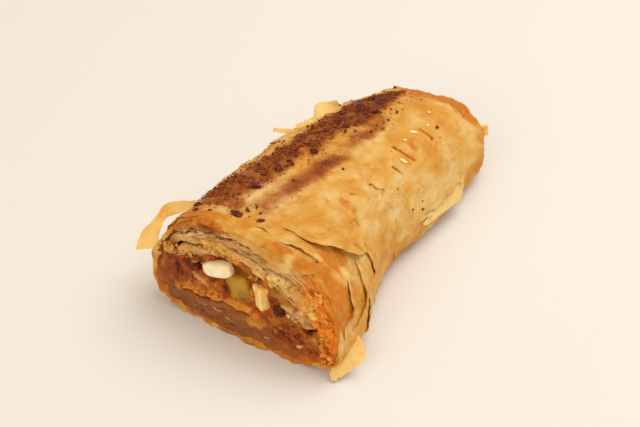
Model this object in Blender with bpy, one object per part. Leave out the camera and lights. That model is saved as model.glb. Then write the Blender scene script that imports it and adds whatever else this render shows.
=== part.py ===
"""A piece of apple strudel: a flat filo roll with an open cut end and a folded far end.

The roll lies along Y on the ground, Z = 0. The cut faces -Y and leans back a little, so its top
is further in than its foot. +X is the roll's right side, seen from in front of the cut. The
origin is at the middle of the roll's footprint.
"""

import math

import bmesh
import bpy
from mathutils import Matrix, Vector, noise

MM = 0.001

# Driving sizes of the roll.
LENGTH = 120 * MM
CUT_LEAN = 0.115
SQUARENESS = 2.32
REST_STRIP = 1.0 * MM

# Stations along the roll, as shares of its length from the cut: its left edge, its right edge and
# its height. It is wide where the knife pressed it, has a waist on the right, and thins towards
# the fold.
LEFT_EDGE = ((0.0, -32.0 * MM), (0.25, -33.9 * MM), (0.5, -34.0 * MM), (0.75, -32.4 * MM), (1.0, -29.5 * MM))
RIGHT_EDGE = (
    (0.0, 34.2 * MM),
    (0.1, 33.7 * MM),
    (0.22, 29.8 * MM),
    (0.4, 25.4 * MM),
    (0.6, 25.8 * MM),
    (0.8, 23.4 * MM),
    (1.0, 20.5 * MM),
)
HEIGHT = ((0.0, 36.4 * MM), (0.25, 36.2 * MM), (0.5, 34.9 * MM), (0.75, 31.9 * MM), (1.0, 27.8 * MM))

# The waist: how far the right flank pulls in, while the top above it keeps its place.
WAIST = (
    (0.0, 0.0),
    (0.1, 0.0),
    (0.22, 1.0 * MM),
    (0.4, 2.8 * MM),
    (0.6, 3.6 * MM),
    (0.8, 2.7 * MM),
    (1.0, 0.4 * MM),
)
WAIST_SHOULDER = 0.5
LEFT_BELLY = 0.29
RIGHT_BELLY = 0.25

# The outermost sheet ends in a torn edge behind the cut, and the layers under it form ledges.
SHEET_STEP = 0.8 * MM
SHEET_SETBACK = 9.0 * MM
SHEET_TEAR = 3.0 * MM
LEDGES = ((0.04, 0.0), (0.82, 0.0), (0.83, 0.5 * MM), (0.92, 0.5 * MM), (0.93, 1.2 * MM), (1.0, 1.2 * MM))
LEDGE_FULL_HEIGHT = 20 * MM

# Folds and blisters of the skin.
FOLD_DEPTH = 0.8 * MM
PLEAT_DEPTH = 0.7 * MM
PLEAT_PITCH = 8.0 * MM
END_ROUND_START = 0.9
END_ROUND = 0.79
TUCK_DEPTH = 3.5 * MM
TUCK_PLEATS = 9

# The filling's section: where it lies across the cut, and the height of its middle.
CORE_MIDDLE = 0.8 * MM
CORE_HALF_WIDTH = 29.6 * MM
CORE_HALF_HEIGHT = 8.0 * MM
CORE_LINE = ((-1.0, 11.0 * MM), (-0.5, 14.6 * MM), (0.0, 16.3 * MM), (0.5, 11.4 * MM), (1.0, 6.8 * MM))
CORE_STOP = 0.88
CORE_ROUGHNESS = 0.7 * MM

GAP = 0.3 * MM
RING_POINTS = 64
CORE_POINTS = 36
BODY_RINGS = 28


def clear_scene():
    """Remove whatever the file holds."""
    for obj in list(bpy.data.objects):
        bpy.data.objects.remove(obj, do_unlink=True)


def through(stations, x):
    """Smooth curve through the stations, which are pairs of place and value, read at x."""
    last = len(stations) - 2
    k = 0
    while k < last and x > stations[k + 1][0]:
        k += 1
    before = stations[max(k - 1, 0)]
    here, there = stations[k], stations[k + 1]
    after = stations[min(k + 2, last + 1)]
    span = there[0] - here[0]
    s = (x - here[0]) / span
    slope_in = (there[1] - before[1]) / (there[0] - before[0]) * span
    slope_out = (after[1] - here[1]) / (after[0] - here[0]) * span
    return (
        (2 * s**3 - 3 * s**2 + 1) * here[1]
        + (s**3 - 2 * s**2 + s) * slope_in
        + (3 * s**2 - 2 * s**3) * there[1]
        + (s**3 - s**2) * slope_out
    )


def signed_power(value, power):
    """Power of a number that keeps its sign."""
    return math.copysign(abs(value) ** power, value)


def cut_y(z):
    """Y of the cut at height z."""
    return -LENGTH / 2 + CUT_LEAN * z


def share_at(y):
    """Share of the length at y, 0 at the cut's foot and 1 at the fold."""
    return min(max(y / LENGTH + 0.5, 0.0), 1.0)


def waist(share, across):
    """How far the flank pulls in at a place across the roll, -1 at its left and 1 at its right."""
    flank = min(max((across - WAIST_SHOULDER) / (1 - WAIST_SHOULDER), 0.0), 1.0)
    return through(WAIST, share) * flank * flank * (3 - 2 * flank)


def section(y, turn, inset=0.0):
    """Point on the roll at y. turn goes round from the right side over the top."""
    share = share_at(y)
    left = through(LEFT_EDGE, share)
    right = through(RIGHT_EDGE, share)
    top = through(HEIGHT, share)
    rounding = max(share - END_ROUND_START, 0.0) / (1 - END_ROUND_START) * END_ROUND
    shrink = math.sqrt(1 - rounding**2)
    across = signed_power(math.cos(turn), 2 / SQUARENESS)
    rise = signed_power(math.sin(turn), 2 / SQUARENESS)
    half = (right - left) / 2 * (0.4 + 0.6 * shrink) - inset
    belly = top * (LEFT_BELLY + (RIGHT_BELLY - LEFT_BELLY) * (across + 1) / 2)
    reach = (top - belly) * shrink - inset if rise > 0 else belly - inset
    x = (left + right) / 2 + half * across - waist(share, across)
    z = max(belly + reach * rise, REST_STRIP) - REST_STRIP
    return Vector((x, y, z))


def skin_relief(point, turn):
    """Height of the folds and blisters on the skin, fading to nothing where the roll rests."""
    above = min(max(point.z / (6 * MM), 0.0), 1.0)
    folds = noise.noise(Vector((point.x / 0.02, point.y / 0.012, point.z / 0.02))) * FOLD_DEPTH
    near = math.exp(-(((point.y + LENGTH / 2) / 0.035) ** 2))
    flank = max(math.cos(turn - 0.35), 0.0) ** 3
    lean = point.y + 0.35 * point.z
    pleats = math.sin(2 * math.pi * lean / PLEAT_PITCH) * PLEAT_DEPTH * near * flank
    return (folds + pleats) * above


def skin(y, turn):
    """Point on the outermost sheet."""
    point = section(y, turn)
    inner = section(y, turn, 1 * MM)
    outward = (point - inner).normalized()
    out = point + outward * (skin_relief(point, turn) - FOLD_DEPTH * 0.5 * min(point.z / (6 * MM), 1.0))
    return Vector((out.x, y, max(out.z, 0.0)))


def sheet_edge(turn):
    """Y of the outermost sheet's torn edge."""
    tear = noise.noise(Vector((math.cos(turn) * 1.7, math.sin(turn) * 1.7, 4.2)))
    return -LENGTH / 2 + SHEET_SETBACK + SHEET_TEAR * (math.sin(2 * turn - 0.6) * 0.6 + tear)


def face_ring(share, recess):
    """Ring across the cut face: a scaled copy of its rim, set back by recess above the foot."""

    def place(turn):
        rim = section(-LENGTH / 2, turn, SHEET_STEP)
        middle = Vector((1 * MM, 0, 15 * MM))
        x = middle.x + (rim.x - middle.x) * share
        z = middle.z + (rim.z - middle.z) * share
        return Vector((x, cut_y(z) + recess * min(z / LEDGE_FULL_HEIGHT, 1.0), z))

    return place


def step_ring(inset, behind):
    """Ring along the outermost sheet's torn edge, under it or on it."""

    def place(turn):
        y = sheet_edge(turn) + behind
        return skin(y, turn) if inset == 0 else section(y, turn, inset)

    return place


def body_ring(share):
    """Ring round the roll between the torn edge and the fold."""

    def place(turn):
        start = sheet_edge(turn) + 1 * MM
        return skin(start + (LENGTH / 2 - start) * share, turn)

    return place


def tuck_ring(share):
    """Ring on the folded end, where the sheets are tucked in with small pleats."""

    def place(turn):
        rim = skin(LENGTH / 2, turn)
        middle = Vector((-4 * MM, 0, 9 * MM))
        pleat = math.cos(TUCK_PLEATS * turn + 3 * share) * 0.8 * MM * share * (1 - share) * 4
        x = middle.x + (rim.x - middle.x) * share
        z = middle.z + (rim.z - middle.z) * share
        y = LENGTH / 2 - TUCK_DEPTH * (1 - share**2) - abs(pleat)
        return Vector((x, y, z))

    return place


def loft(name, rings, points):
    """Closed solid through rings of points, each ring a function of the turn round it."""
    bm = bmesh.new()
    turns = bm.verts.layers.float.new("turn")
    made = bmesh.ops.create_circle(bm, cap_ends=False, segments=points, radius=1.0)
    for vert in made["verts"]:
        vert[turns] = math.atan2(vert.co.y, vert.co.x)
        vert.co = rings[0](vert[turns])
    edges = list(bm.edges)
    bmesh.ops.edgeloop_fill(bm, edges=edges)
    for ring in rings[1:]:
        grown = bmesh.ops.extrude_edge_only(bm, edges=edges)["geom"]
        edges = [item for item in grown if isinstance(item, bmesh.types.BMEdge)]
        for vert in (item for item in grown if isinstance(item, bmesh.types.BMVert)):
            vert.co = ring(vert[turns])
    bmesh.ops.edgeloop_fill(bm, edges=edges)
    bmesh.ops.recalc_face_normals(bm, faces=bm.faces)
    return finish(bm, name)


def finish(bm, name):
    """Turn a bmesh into an object with smooth shading and sharp creases kept."""
    mesh = bpy.data.meshes.new(name)
    bm.to_mesh(mesh)
    bm.free()
    mesh.shade_smooth()
    mesh.set_sharp_from_angle(angle=math.radians(40))
    obj = bpy.data.objects.new(name, mesh)
    bpy.context.scene.collection.objects.link(obj)
    return obj


def material(name, colour, roughness, subsurface=0.0):
    """Principled material with one colour."""
    made = bpy.data.materials.new(name)
    made.use_nodes = True
    shader = made.node_tree.nodes["Principled BSDF"]
    shader.inputs["Base Color"].default_value = (*colour, 1.0)
    shader.inputs["Roughness"].default_value = roughness
    shader.inputs["Metallic"].default_value = 0.0
    shader.inputs["Subsurface Weight"].default_value = subsurface
    return made


def core_point(turn, grow=0.0):
    """Point round the filling's section at the cut, grown by grow."""
    across = math.cos(turn)
    half_height = (CORE_HALF_HEIGHT + grow) * abs(math.sin(turn)) ** 0.8
    x = CORE_MIDDLE + (CORE_HALF_WIDTH + grow) * across
    z = through(CORE_LINE, across) + math.copysign(half_height, math.sin(turn))
    return x, z


def core_at(y, turn, scale=1.0, grow=0.0):
    """The filling's section carried along the roll, which narrows and thins it."""
    x, z = core_point(turn, grow)
    share = share_at(y)
    middle_x, middle_z = CORE_MIDDLE, 14 * MM
    x = middle_x + (x - middle_x) * scale
    z = middle_z + (z - middle_z) * scale
    left, right = through(LEFT_EDGE, share), through(RIGHT_EDGE, share) - through(WAIST, share)
    cut_left, cut_right = LEFT_EDGE[0][1], RIGHT_EDGE[0][1]
    width = (right - left) / (cut_right - cut_left)
    height = through(HEIGHT, share) / HEIGHT[0][1]
    return Vector(((left + right) / 2 + (x - (cut_left + cut_right) / 2) * width, y, z * height))


def core_face(scale, uneven):
    """Ring on the filling's cut face, with lumps where uneven is 1."""

    def place(turn):
        point = core_at(-LENGTH / 2, turn, scale)
        lump = noise.noise(Vector((point.x / 0.005, point.z / 0.005, 7.7)))
        point.y = cut_y(point.z) + lump * CORE_ROUGHNESS * uneven
        return point

    return place


def core_ring(share, scale, grow=0.0):
    """Ring round the filling inside the roll."""

    def place(turn):
        y = -LENGTH / 2 + LENGTH * share
        return core_at(y, turn, scale, grow)

    return place


def core_rings():
    """The filling's rings, from the middle of its cut face to its far end."""
    rings = [core_face(scale, 1.0) for scale in (0.03, 0.2, 0.4, 0.6, 0.8)]
    rings.append(core_face(0.985, 0.4))
    rings += [core_ring(0.05 + 0.03 * k**1.5, 1.0) for k in range(9)]
    rings += [core_ring(CORE_STOP - 0.02, 0.92), core_ring(CORE_STOP, 0.6), core_ring(CORE_STOP, 0.05)]
    return rings


def pocket_rings():
    """The filling grown by the gap and drawn out through the cut, to cut its pocket."""
    rings = [core_ring(-0.05, 0.03, GAP), core_ring(-0.05, 1.0, GAP)]
    rings += [core_ring(0.05 + 0.03 * k**1.5, 1.0, GAP) for k in range(9)]
    rings.append(core_ring(CORE_STOP - 0.015, 0.95, GAP))
    rings.append(core_ring(CORE_STOP + 0.005, 0.7, GAP))
    rings.append(core_ring(CORE_STOP + 0.005, 0.05, GAP))
    return rings


def make_pastry():
    """The filo roll: cut face, torn outer sheet, body and tucked end, before its pocket is cut."""
    rings = [face_ring(share, recess) for share, recess in LEDGES]
    rings += [step_ring(SHEET_STEP, -0.2 * MM), step_ring(0, 0.2 * MM)]
    rings += [body_ring(k / BODY_RINGS) for k in range(BODY_RINGS + 1)]
    rings += [tuck_ring(share) for share in (0.92, 0.8, 0.62, 0.42, 0.22, 0.06)]
    pastry = loft("pastry", rings, RING_POINTS)
    pastry.data.materials.append(material("baked_filo", (0.72, 0.40, 0.13), 0.45, 0.1))
    return pastry


def make_filling():
    """The apple and cinnamon filling that runs through the roll."""
    filling = loft("filling", core_rings(), CORE_POINTS)
    filling.data.materials.append(material("cinnamon_filling", (0.22, 0.08, 0.03), 0.35, 0.2))
    return filling


def cut_away(target, cutter):
    """Boolean difference. The cutter stays in the file as a hidden wire guide."""
    cutter.hide_render = True
    cutter.display_type = "WIRE"
    cut = target.modifiers.new("cut_" + cutter.name, "BOOLEAN")
    cut.operation = "DIFFERENCE"
    cut.solver = "EXACT"
    cut.object = cutter


def seat(size, centre, tilt, twist=0.0):
    """Transform of a chunk: its size, its tilt about Y in the cut, its twist about Z, its place."""
    turn = Matrix.Rotation(math.radians(twist), 4, "Z") @ Matrix.Rotation(-math.radians(tilt), 4, "Y")
    x, depth, z = centre
    return Matrix.Translation((x, cut_y(z) + depth, z)) @ turn @ Matrix.Diagonal((*size, 1.0))


def almond_shape(size, centre, tilt, name):
    """Blunt sliver of almond: an egg form squared off at its ends."""
    bm = bmesh.new()
    bmesh.ops.create_uvsphere(bm, u_segments=20, v_segments=12, radius=0.5)
    for vert in bm.verts:
        vert.co.x = signed_power(vert.co.x * 2, 0.8) / 2
        vert.co.z = signed_power(vert.co.z * 2, 0.9) / 2
    bmesh.ops.transform(bm, matrix=seat(size, centre, tilt), verts=bm.verts)
    return finish(bm, name)


def dice_shape(size, centre, tilt, name, twist=0.0, taper=1.0):
    """Dice of apple with softened edges. taper narrows its foot to make a wedge."""
    bm = bmesh.new()
    bmesh.ops.create_cube(bm, size=1.0)
    for vert in bm.verts:
        if vert.co.z < 0:
            vert.co.x *= taper
    bmesh.ops.transform(bm, matrix=Matrix.Diagonal((*size, 1.0)), verts=bm.verts)
    bmesh.ops.bevel(
        bm,
        geom=list(bm.edges),
        offset=min(size) * 0.16,
        offset_type="OFFSET",
        segments=2,
        profile=0.5,
        material=-1,
        affect="EDGES",
    )
    bmesh.ops.transform(bm, matrix=seat((1, 1, 1), centre, tilt, twist), verts=bm.verts)
    bmesh.ops.recalc_face_normals(bm, faces=bm.faces)
    return finish(bm, name)


def raisin_shape(size, centre, tilt, name):
    """Raisin: a small egg form with creases."""
    bm = bmesh.new()
    bmesh.ops.create_icosphere(bm, subdivisions=3, radius=0.5)
    for vert in bm.verts:
        crease = 1 + 0.12 * noise.noise(vert.co * 7)
        vert.co *= crease
    bmesh.ops.transform(bm, matrix=seat(size, centre, tilt), verts=bm.verts)
    return finish(bm, name)


def grown(size):
    """Size of a chunk's pocket, with the gap all round."""
    return tuple(side + 2 * GAP for side in size)


def set_chunk(filling, shape, name, look, size, centre, tilt, **more):
    """Make one chunk and cut its pocket in the filling."""
    chunk = shape(size, centre, tilt, name, **more)
    chunk.data.materials.append(look)
    cut_away(filling, shape(grown(size), centre, tilt, name + "_pocket", **more))


def make_chunks(filling):
    """The almond, the apple and the raisin that show at the cut."""
    almond = material("blanched_almond", (0.86, 0.74, 0.50), 0.4, 0.2)
    green_apple = material("soft_green_apple", (0.52, 0.40, 0.08), 0.3, 0.3)
    pale_apple = material("soft_pale_apple", (0.72, 0.50, 0.20), 0.35, 0.3)
    raisin = material("plump_raisin", (0.05, 0.015, 0.012), 0.3, 0.1)
    set_chunk(
        filling, almond_shape, "almond", almond,
        (12.2 * MM, 7.0 * MM, 5.2 * MM), (-8.0 * MM, 2.4 * MM, 19.9 * MM), 19,
    )
    set_chunk(
        filling, dice_shape, "apple_chunk", green_apple,
        (7.2 * MM, 8.0 * MM, 6.2 * MM), (-0.6 * MM, 3.2 * MM, 16.6 * MM), 22, twist=8, taper=0.85,
    )
    set_chunk(
        filling, dice_shape, "apple_wedge", pale_apple,
        (6.0 * MM, 7.2 * MM, 6.8 * MM), (7.8 * MM, 2.8 * MM, 16.2 * MM), 12, twist=-10, taper=0.5,
    )
    set_chunk(
        filling, raisin_shape, "raisin", raisin,
        (4.6 * MM, 5.0 * MM, 3.6 * MM), (13.4 * MM, 1.6 * MM, 14.0 * MM), 15,
    )


def main():
    """Build the strudel."""
    clear_scene()
    pastry = make_pastry()
    cut_away(pastry, loft("filling_pocket", pocket_rings(), CORE_POINTS))
    make_chunks(make_filling())


main()
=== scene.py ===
"""Looks of a piece of apple strudel: baked filo with torn sheets, moist filling, crumbs and flakes.

Every piece takes its place from the roll's form, which has the same stations as the CAD roll, and
rides on the one body, root. Lengths are in metres, and turns round the roll go from its right side
over the top, in radians. Tables are in handier units: degrees and millimetres of Y on the skin, and
millimetres of X and Z on the cut.
"""

import logging
import math
import random
from collections.abc import Callable, Sequence
from dataclasses import dataclass, field, replace
from enum import Enum
from functools import lru_cache

import bmesh
import bpy
from mathutils import Matrix, Vector, noise


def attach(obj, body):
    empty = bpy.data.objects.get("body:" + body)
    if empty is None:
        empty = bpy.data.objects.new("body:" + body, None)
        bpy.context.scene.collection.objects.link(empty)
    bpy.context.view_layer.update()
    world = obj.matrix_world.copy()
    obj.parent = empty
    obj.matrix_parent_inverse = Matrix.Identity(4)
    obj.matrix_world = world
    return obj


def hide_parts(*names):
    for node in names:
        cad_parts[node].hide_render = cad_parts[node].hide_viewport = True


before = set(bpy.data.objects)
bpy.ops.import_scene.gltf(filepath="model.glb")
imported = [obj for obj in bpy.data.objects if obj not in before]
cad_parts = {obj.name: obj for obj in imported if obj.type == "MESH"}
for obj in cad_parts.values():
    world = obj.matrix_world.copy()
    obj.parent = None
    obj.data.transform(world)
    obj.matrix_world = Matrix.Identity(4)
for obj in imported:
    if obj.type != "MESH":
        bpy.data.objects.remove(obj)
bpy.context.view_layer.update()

log = logging.getLogger("strudel")

MM = 0.001
FLOOR_GAP = 0.01 * MM
BODY = "root"

# The skin runs about half a millimetre to a degree round the roll.
DEGREE_MM = 0.5
# Thickness of a torn sheet, with the butter on it.
SHEET = 0.16 * MM
# Edges of a piece sharper than this stay sharp.
SHARP_ANGLE = math.radians(55)
PLAIN = (1.0, 1.0, 1.0)
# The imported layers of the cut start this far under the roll's form.
UNDER_CRUST = 0.9 * MM

Stations = Sequence[tuple[float, float]]
Spot = tuple[float, float]
Colour = tuple[float, float, float]
Place = Callable[[float, float], Vector]
Vert = bmesh.types.BMVert
Socket = bpy.types.NodeSocket
Tree = bpy.types.NodeTree


def smooth(x: float) -> float:
    """Rise from 0 to 1 with level ends, for x from 0 to 1."""
    x = min(max(x, 0.0), 1.0)
    return x * x * (3 - 2 * x)


def mix(a: float, b: float, share: float) -> float:
    """Value between a and b."""
    return a + (b - a) * share


def signed_power(value: float, power: float) -> float:
    """Power of a number that keeps its sign."""
    return math.copysign(abs(value) ** power, value)


def through(stations: Stations, x: float) -> float:
    """Read a smooth curve through stations.

    Args:
        stations: pairs of place and value, in order of place.
        x: the place to read, which is kept between the first and last station.

    Returns:
        The value at x.
    """
    x = min(max(x, stations[0][0]), stations[-1][0])
    last = len(stations) - 2
    k = 0
    while k < last and x > stations[k + 1][0]:
        k += 1
    before, here = stations[max(k - 1, 0)], stations[k]
    there, after = stations[k + 1], stations[min(k + 2, last + 1)]
    span = there[0] - here[0]
    s = (x - here[0]) / span
    slope_in = (there[1] - before[1]) / (there[0] - before[0]) * span
    slope_out = (after[1] - here[1]) / (after[0] - here[0]) * span
    return (
        (2 * s**3 - 3 * s**2 + 1) * here[1]
        + (s**3 - 2 * s**2 + s) * slope_in
        + (3 * s**2 - 2 * s**3) * there[1]
        + (s**3 - s**2) * slope_out
    )


def grain(point: Vector, size: float, seed: float = 0.0) -> float:
    """Soft noise from about -1 to 1 with lumps of a given size.

    Args:
        point: where to read it, in metres.
        size: width of a lump, in metres.
        seed: picks another pattern.

    Returns:
        The noise there.
    """
    x, y, z = point.x / size, point.y / size, point.z / size
    return noise.noise(Vector((x + seed, y - seed * 1.7, z + seed * 0.6)))


def rough(point: Vector, size: float, seed: float = 0.0) -> float:
    """Noise from about -1 to 1 with lumps of a given size and finer ones on them."""
    shifted = Vector((point.x / size + seed, point.y / size - seed, point.z / size + 2 * seed))
    return noise.fractal(shifted, 0.9, 2.1, 4)


def band(value: float, middle: float, half: float, soft: float) -> float:
    """1 inside a band and 0 outside, with soft edges."""
    return smooth((half + soft - abs(value - middle)) / (2 * soft))


@dataclass(frozen=True)
class Crease:
    """A line on the skin, as points of degrees round the roll and Y in millimetres.

    It has a groove, a lip raised behind it, and painted shade that darkens its groove.
    """

    points: tuple[tuple[float, float], ...]
    width: float = 0.7
    groove: float = 0.3
    lip: float = 0.2
    toast_and_shade: float = 0.35

    def gap(self, degrees: float, y: float) -> tuple[float, float]:
        """Measure how far a spot lies from the line.

        Args:
            degrees: the spot's turn round the roll.
            y: its Y in millimetres.

        Returns:
            The distance in millimetres, and how far behind the line the spot is.
        """
        reach = self.width * 4
        nearest, behind = reach, 0.0
        for (a_turn, a_y), (b_turn, b_y) in zip(self.points, self.points[1:]):
            if not min(a_turn, b_turn) - reach * 2 < degrees < max(a_turn, b_turn) + reach * 2:
                continue
            if not min(a_y, b_y) - reach < y < max(a_y, b_y) + reach:
                continue
            run, climb = (b_turn - a_turn) * DEGREE_MM, b_y - a_y
            across, up = (degrees - a_turn) * DEGREE_MM, y - a_y
            share = min(max((across * run + up * climb) / (run * run + climb * climb), 0.0), 1.0)
            gap = math.hypot(across - share * run, up - share * climb)
            if gap < nearest:
                nearest, behind = gap, up - share * climb
        return nearest, behind

    def rise(self, degrees: float, y: float) -> float:
        """Height in millimetres that the line adds at a spot: a groove, and a lip behind it."""
        nearest, behind = self.gap(degrees, y)
        if nearest >= self.width * 4:
            return 0.0
        dip = math.exp(-((nearest / (self.width * 0.6)) ** 2)) * self.groove
        lip = math.exp(-(((nearest - self.width * 1.2) / self.width) ** 2)) * self.lip
        return (lip if behind > 0 else lip * 0.2) - dip

    def brown(self, degrees: float, y: float) -> float:
        """Painted shade that the line lays along its groove at a spot."""
        return math.exp(-((self.gap(degrees, y)[0] / (self.width * 0.7)) ** 2)) * self.toast_and_shade


CREASES = (
    # Slits and creases: each darkens its groove with painted shade, the three slits first and darkest.
    Crease(((56.2, 0.6), (52, 1.4), (47.4, 2.2)), 0.32, 1.2, 0.35, 1.3),
    Crease(((68.7, 7.8), (60, 8.7), (55, 9.6), (49.6, 10.6)), 0.32, 1.2, 0.45, 1.3),
    Crease(((67.6, 23.6), (61.6, 23.9), (54.4, 24)), 0.34, 1, 0.45, 1.2),
    Crease(((71.6, -17.9), (68.7, -17.4), (66.3, -16.3), (64.6, -14.4)), 0.6, 0.3, 0.3, 0.4),
    Crease(((67.1, -39.7), (62.8, -40.3), (57.7, -39.2), (50.3, -36.8)), 1.1, 0.3, 0.25, 0.35),
    Crease(((50.7, -31.4), (49.3, -28.7), (47.8, -25.7)), 0.6, 0.25, 0.3, 0.3),
    Crease(((47.8, -28.1), (43.9, -28.3)), 0.5, 0.5, 0.2, 0.7),
    Crease(((41.3, -36), (38.6, -35.1), (33.7, -33.9)), 0.5, 0.4, 0.3, 0.5),
    Crease(((49.2, -18.2), (47.1, -15), (44.5, -12)), 0.7, 0.2, 0.25, 0.3),
    Crease(((43.9, -1.7), (39.4, -1.6), (34.8, -1.9)), 0.6, 0.25, 0.3, 0.3),
    Crease(((69.2, -6.6), (66.3, -5.2)), 0.5, 0.4, 0.2, 0.6),
    Crease(((61.8, -21.2), (59.5, -20.6)), 0.5, 0.4, 0.2, 0.7),
    Crease(((54.4, 23.5), (49.2, 21.1), (45.9, 19.5), (39.7, 18.5)), 0.9, 0.3, 0.35, 0.25),
    Crease(((49, 25.7), (44.5, 23.3), (37.8, 22.5), (35.3, 22.7)), 0.8, 0.3, 0.3, 0.4),
    Crease(((28.8, -8.8), (23.3, -8.9), (18.6, -9.2)), 0.8, 0.3, 0.4, 0.25),
    Crease(((8.6, 34), (4.5, 29.6), (3.9, 25), (4, 19), (5.6, 12.4), (8, 7)), 0.6, 0.6, 0.35, 0.6),
    Crease(((88, -22), (78, -26), (70, -30)), 1.2, 0.2, 0.2, 0.15),
    Crease(((76, 38), (64, 40), (50, 38)), 1, 0.25, 0.3, 0.2),
)


@dataclass
class Roll:
    """The flat roll's form, with the same stations and sizes as the CAD roll."""

    length: float = 120 * MM
    cut_lean: float = 0.115
    squareness: float = 2.32
    rest_strip: float = 1.0 * MM
    left_edge: Stations = ((0, -32), (0.25, -33.9), (0.5, -34), (0.75, -32.4), (1, -29.5))
    right_edge: Stations = (
        (0, 34.2), (0.1, 33.7), (0.22, 29.8), (0.4, 25.4), (0.6, 25.8), (0.8, 23.4), (1, 20.5),
    )
    height: Stations = ((0, 36.4), (0.25, 36.2), (0.5, 34.9), (0.75, 31.9), (1, 27.8))
    waist: Stations = ((0, 0), (0.1, 0), (0.22, 1), (0.4, 2.8), (0.6, 3.6), (0.8, 2.7), (1, 0.4))
    shoulder: float = 0.5
    left_belly: float = 0.29
    right_belly: float = 0.25
    end_round_start: float = 0.9
    end_round: float = 0.79
    cap_depth: float = 5.0 * MM
    cap_reach: float = 22.0 * MM
    core_middle: float = 0.8 * MM
    core_half_width: float = 29.6 * MM
    core_half_height: float = 8.0 * MM
    core_line: Stations = ((-1, 11), (-0.5, 14.6), (0, 16.3), (0.5, 11.4), (1, 6.8))
    known: dict[int, tuple[float, float, float, float]] = field(default_factory=dict)

    def outline(self, share: float) -> tuple[float, float, float, float]:
        """Read the outline at a share of the length, once for each small step along it.

        Returns:
            Left edge, right edge, height and depth of the waist, in millimetres.
        """
        key = round(share * 6000)
        if key not in self.known:
            lines = (self.left_edge, self.right_edge, self.height, self.waist)
            self.known[key] = tuple(through(line, share) for line in lines)
        return self.known[key]

    def cut_y(self, z: float) -> float:
        """Y of the cut at height z."""
        return -self.length / 2 + self.cut_lean * z

    def section(self, y: float, turn: float, lift: float = 0.0) -> Vector:
        """Find a point of the plain form, without folds.

        Args:
            y: place along the roll.
            turn: turn round it.
            lift: height above the form.

        Returns:
            The point.
        """
        share = min(max(y / self.length + 0.5, 0.0), 1.0)
        left, right, top, waist = (value * MM for value in self.outline(share))
        rounding = max(share - self.end_round_start, 0.0) / (1 - self.end_round_start) * self.end_round
        shrink = math.sqrt(1 - rounding**2)
        across = signed_power(math.cos(turn), 2 / self.squareness)
        rise = signed_power(math.sin(turn), 2 / self.squareness)
        half = (right - left) / 2 * (0.4 + 0.6 * shrink) + lift
        belly = top * mix(self.left_belly, self.right_belly, (across + 1) / 2)
        reach = (top - belly) * shrink + lift if rise > 0 else belly + lift
        z = max(belly + reach * rise, self.rest_strip) - self.rest_strip
        pull = waist * smooth((across - self.shoulder) / (1 - self.shoulder))
        return Vector(((left + right) / 2 + half * across - pull, y, z))

    def cap(self, share: float, turn: float, lift: float = 0.0) -> Vector:
        """Find a point of the folded end.

        Args:
            share: 1 at its rim and 0 in its middle.
            turn: turn round the roll.
            lift: height above it.

        Returns:
            The point.
        """
        rim = self.section(self.length / 2, turn, lift)
        middle = Vector((-4 * MM, self.length / 2, 8 * MM))
        point = middle.lerp(rim, share)
        point.y = self.length / 2 - self.cap_depth * (1 - share**3) + lift
        return point

    def skin(self, along: float, turn: float, lift: float = 0.0) -> Vector:
        """Point on the roll's skin with its folds and blisters.

        Args:
            along: Y on the roll, running on over the rim and across the folded end.
            turn: turn round the roll.
            lift: height above the skin.

        Returns:
            The point.
        """
        over = along - self.length / 2
        if over > 0:
            share = 1 - over / self.cap_reach
            plain = self.cap(share, turn)
            return self.cap(share, turn, lift + self.relief(plain, turn, along))
        plain = self.section(along, turn)
        return self.section(along, turn, lift + self.relief(plain, turn, along))

    def plates(self, point: Vector) -> float:
        """Count the thin sheets that lie on each other at a point.

        Args:
            point: the point.

        Returns:
            The count, which steps by one at a torn edge.
        """
        warp = Vector([grain(point, 3.5 * MM, seed) for seed in (2.0, 7.0, 4.0)])
        shifted = Vector((point.x, point.y * 1.25, point.z)) + warp * 0.9 * MM
        count = grain(shifted, 17 * MM, 21.0) * 4.2 + grain(shifted, 6 * MM, 23.0) * 0.7
        level = math.floor(count)
        return level + smooth((count - level) / 0.12)

    def relief(self, point: Vector, turn: float, along: float) -> float:
        """Add up what the skin has on its plain form.

        Args:
            point: the point of the plain form.
            turn: turn round the roll.
            along: Y on the roll, as in skin().

        Returns:
            The height in metres.
        """
        degrees, y = math.degrees(turn), along / MM
        above = smooth(point.z / (7 * MM))
        # All over: swellings 26 mm wide, creases, finer wrinkles round the roll, and blisters.
        swell = grain(point, 26 * MM, 3.1) * 0.8 * MM
        drawn_out, squeezed, tight = (Vector((point.x, point.y * k, point.z)) for k in (0.6, 1.9, 1.6))
        crease = (0.45 - abs(grain(drawn_out, 8 * MM, 5.0)) * 2.2) * 0.35 * MM
        wrinkle = (0.4 - abs(grain(squeezed, 4.5 * MM, 8.0)) * 2.0) * 0.32 * MM
        fine = grain(tight, 1.6 * MM, 4.0) * 0.14 * MM
        blister = max(grain(point, 5.5 * MM, 1.4) - 0.28, 0.0) * 1.5 * MM
        # Near the cut: crisp right shoulder, and a hollow low on the right.
        near = smooth((-48 - y) / 6) * band(degrees, 38, 26, 12)
        crisp = rough(point, 4.0 * MM, 12.0) * 0.6 * MM * near
        hollow = math.exp(-(((degrees - 17) / 11) ** 2) - ((y + 50) / 7) ** 2) * -1.3 * MM
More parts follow.
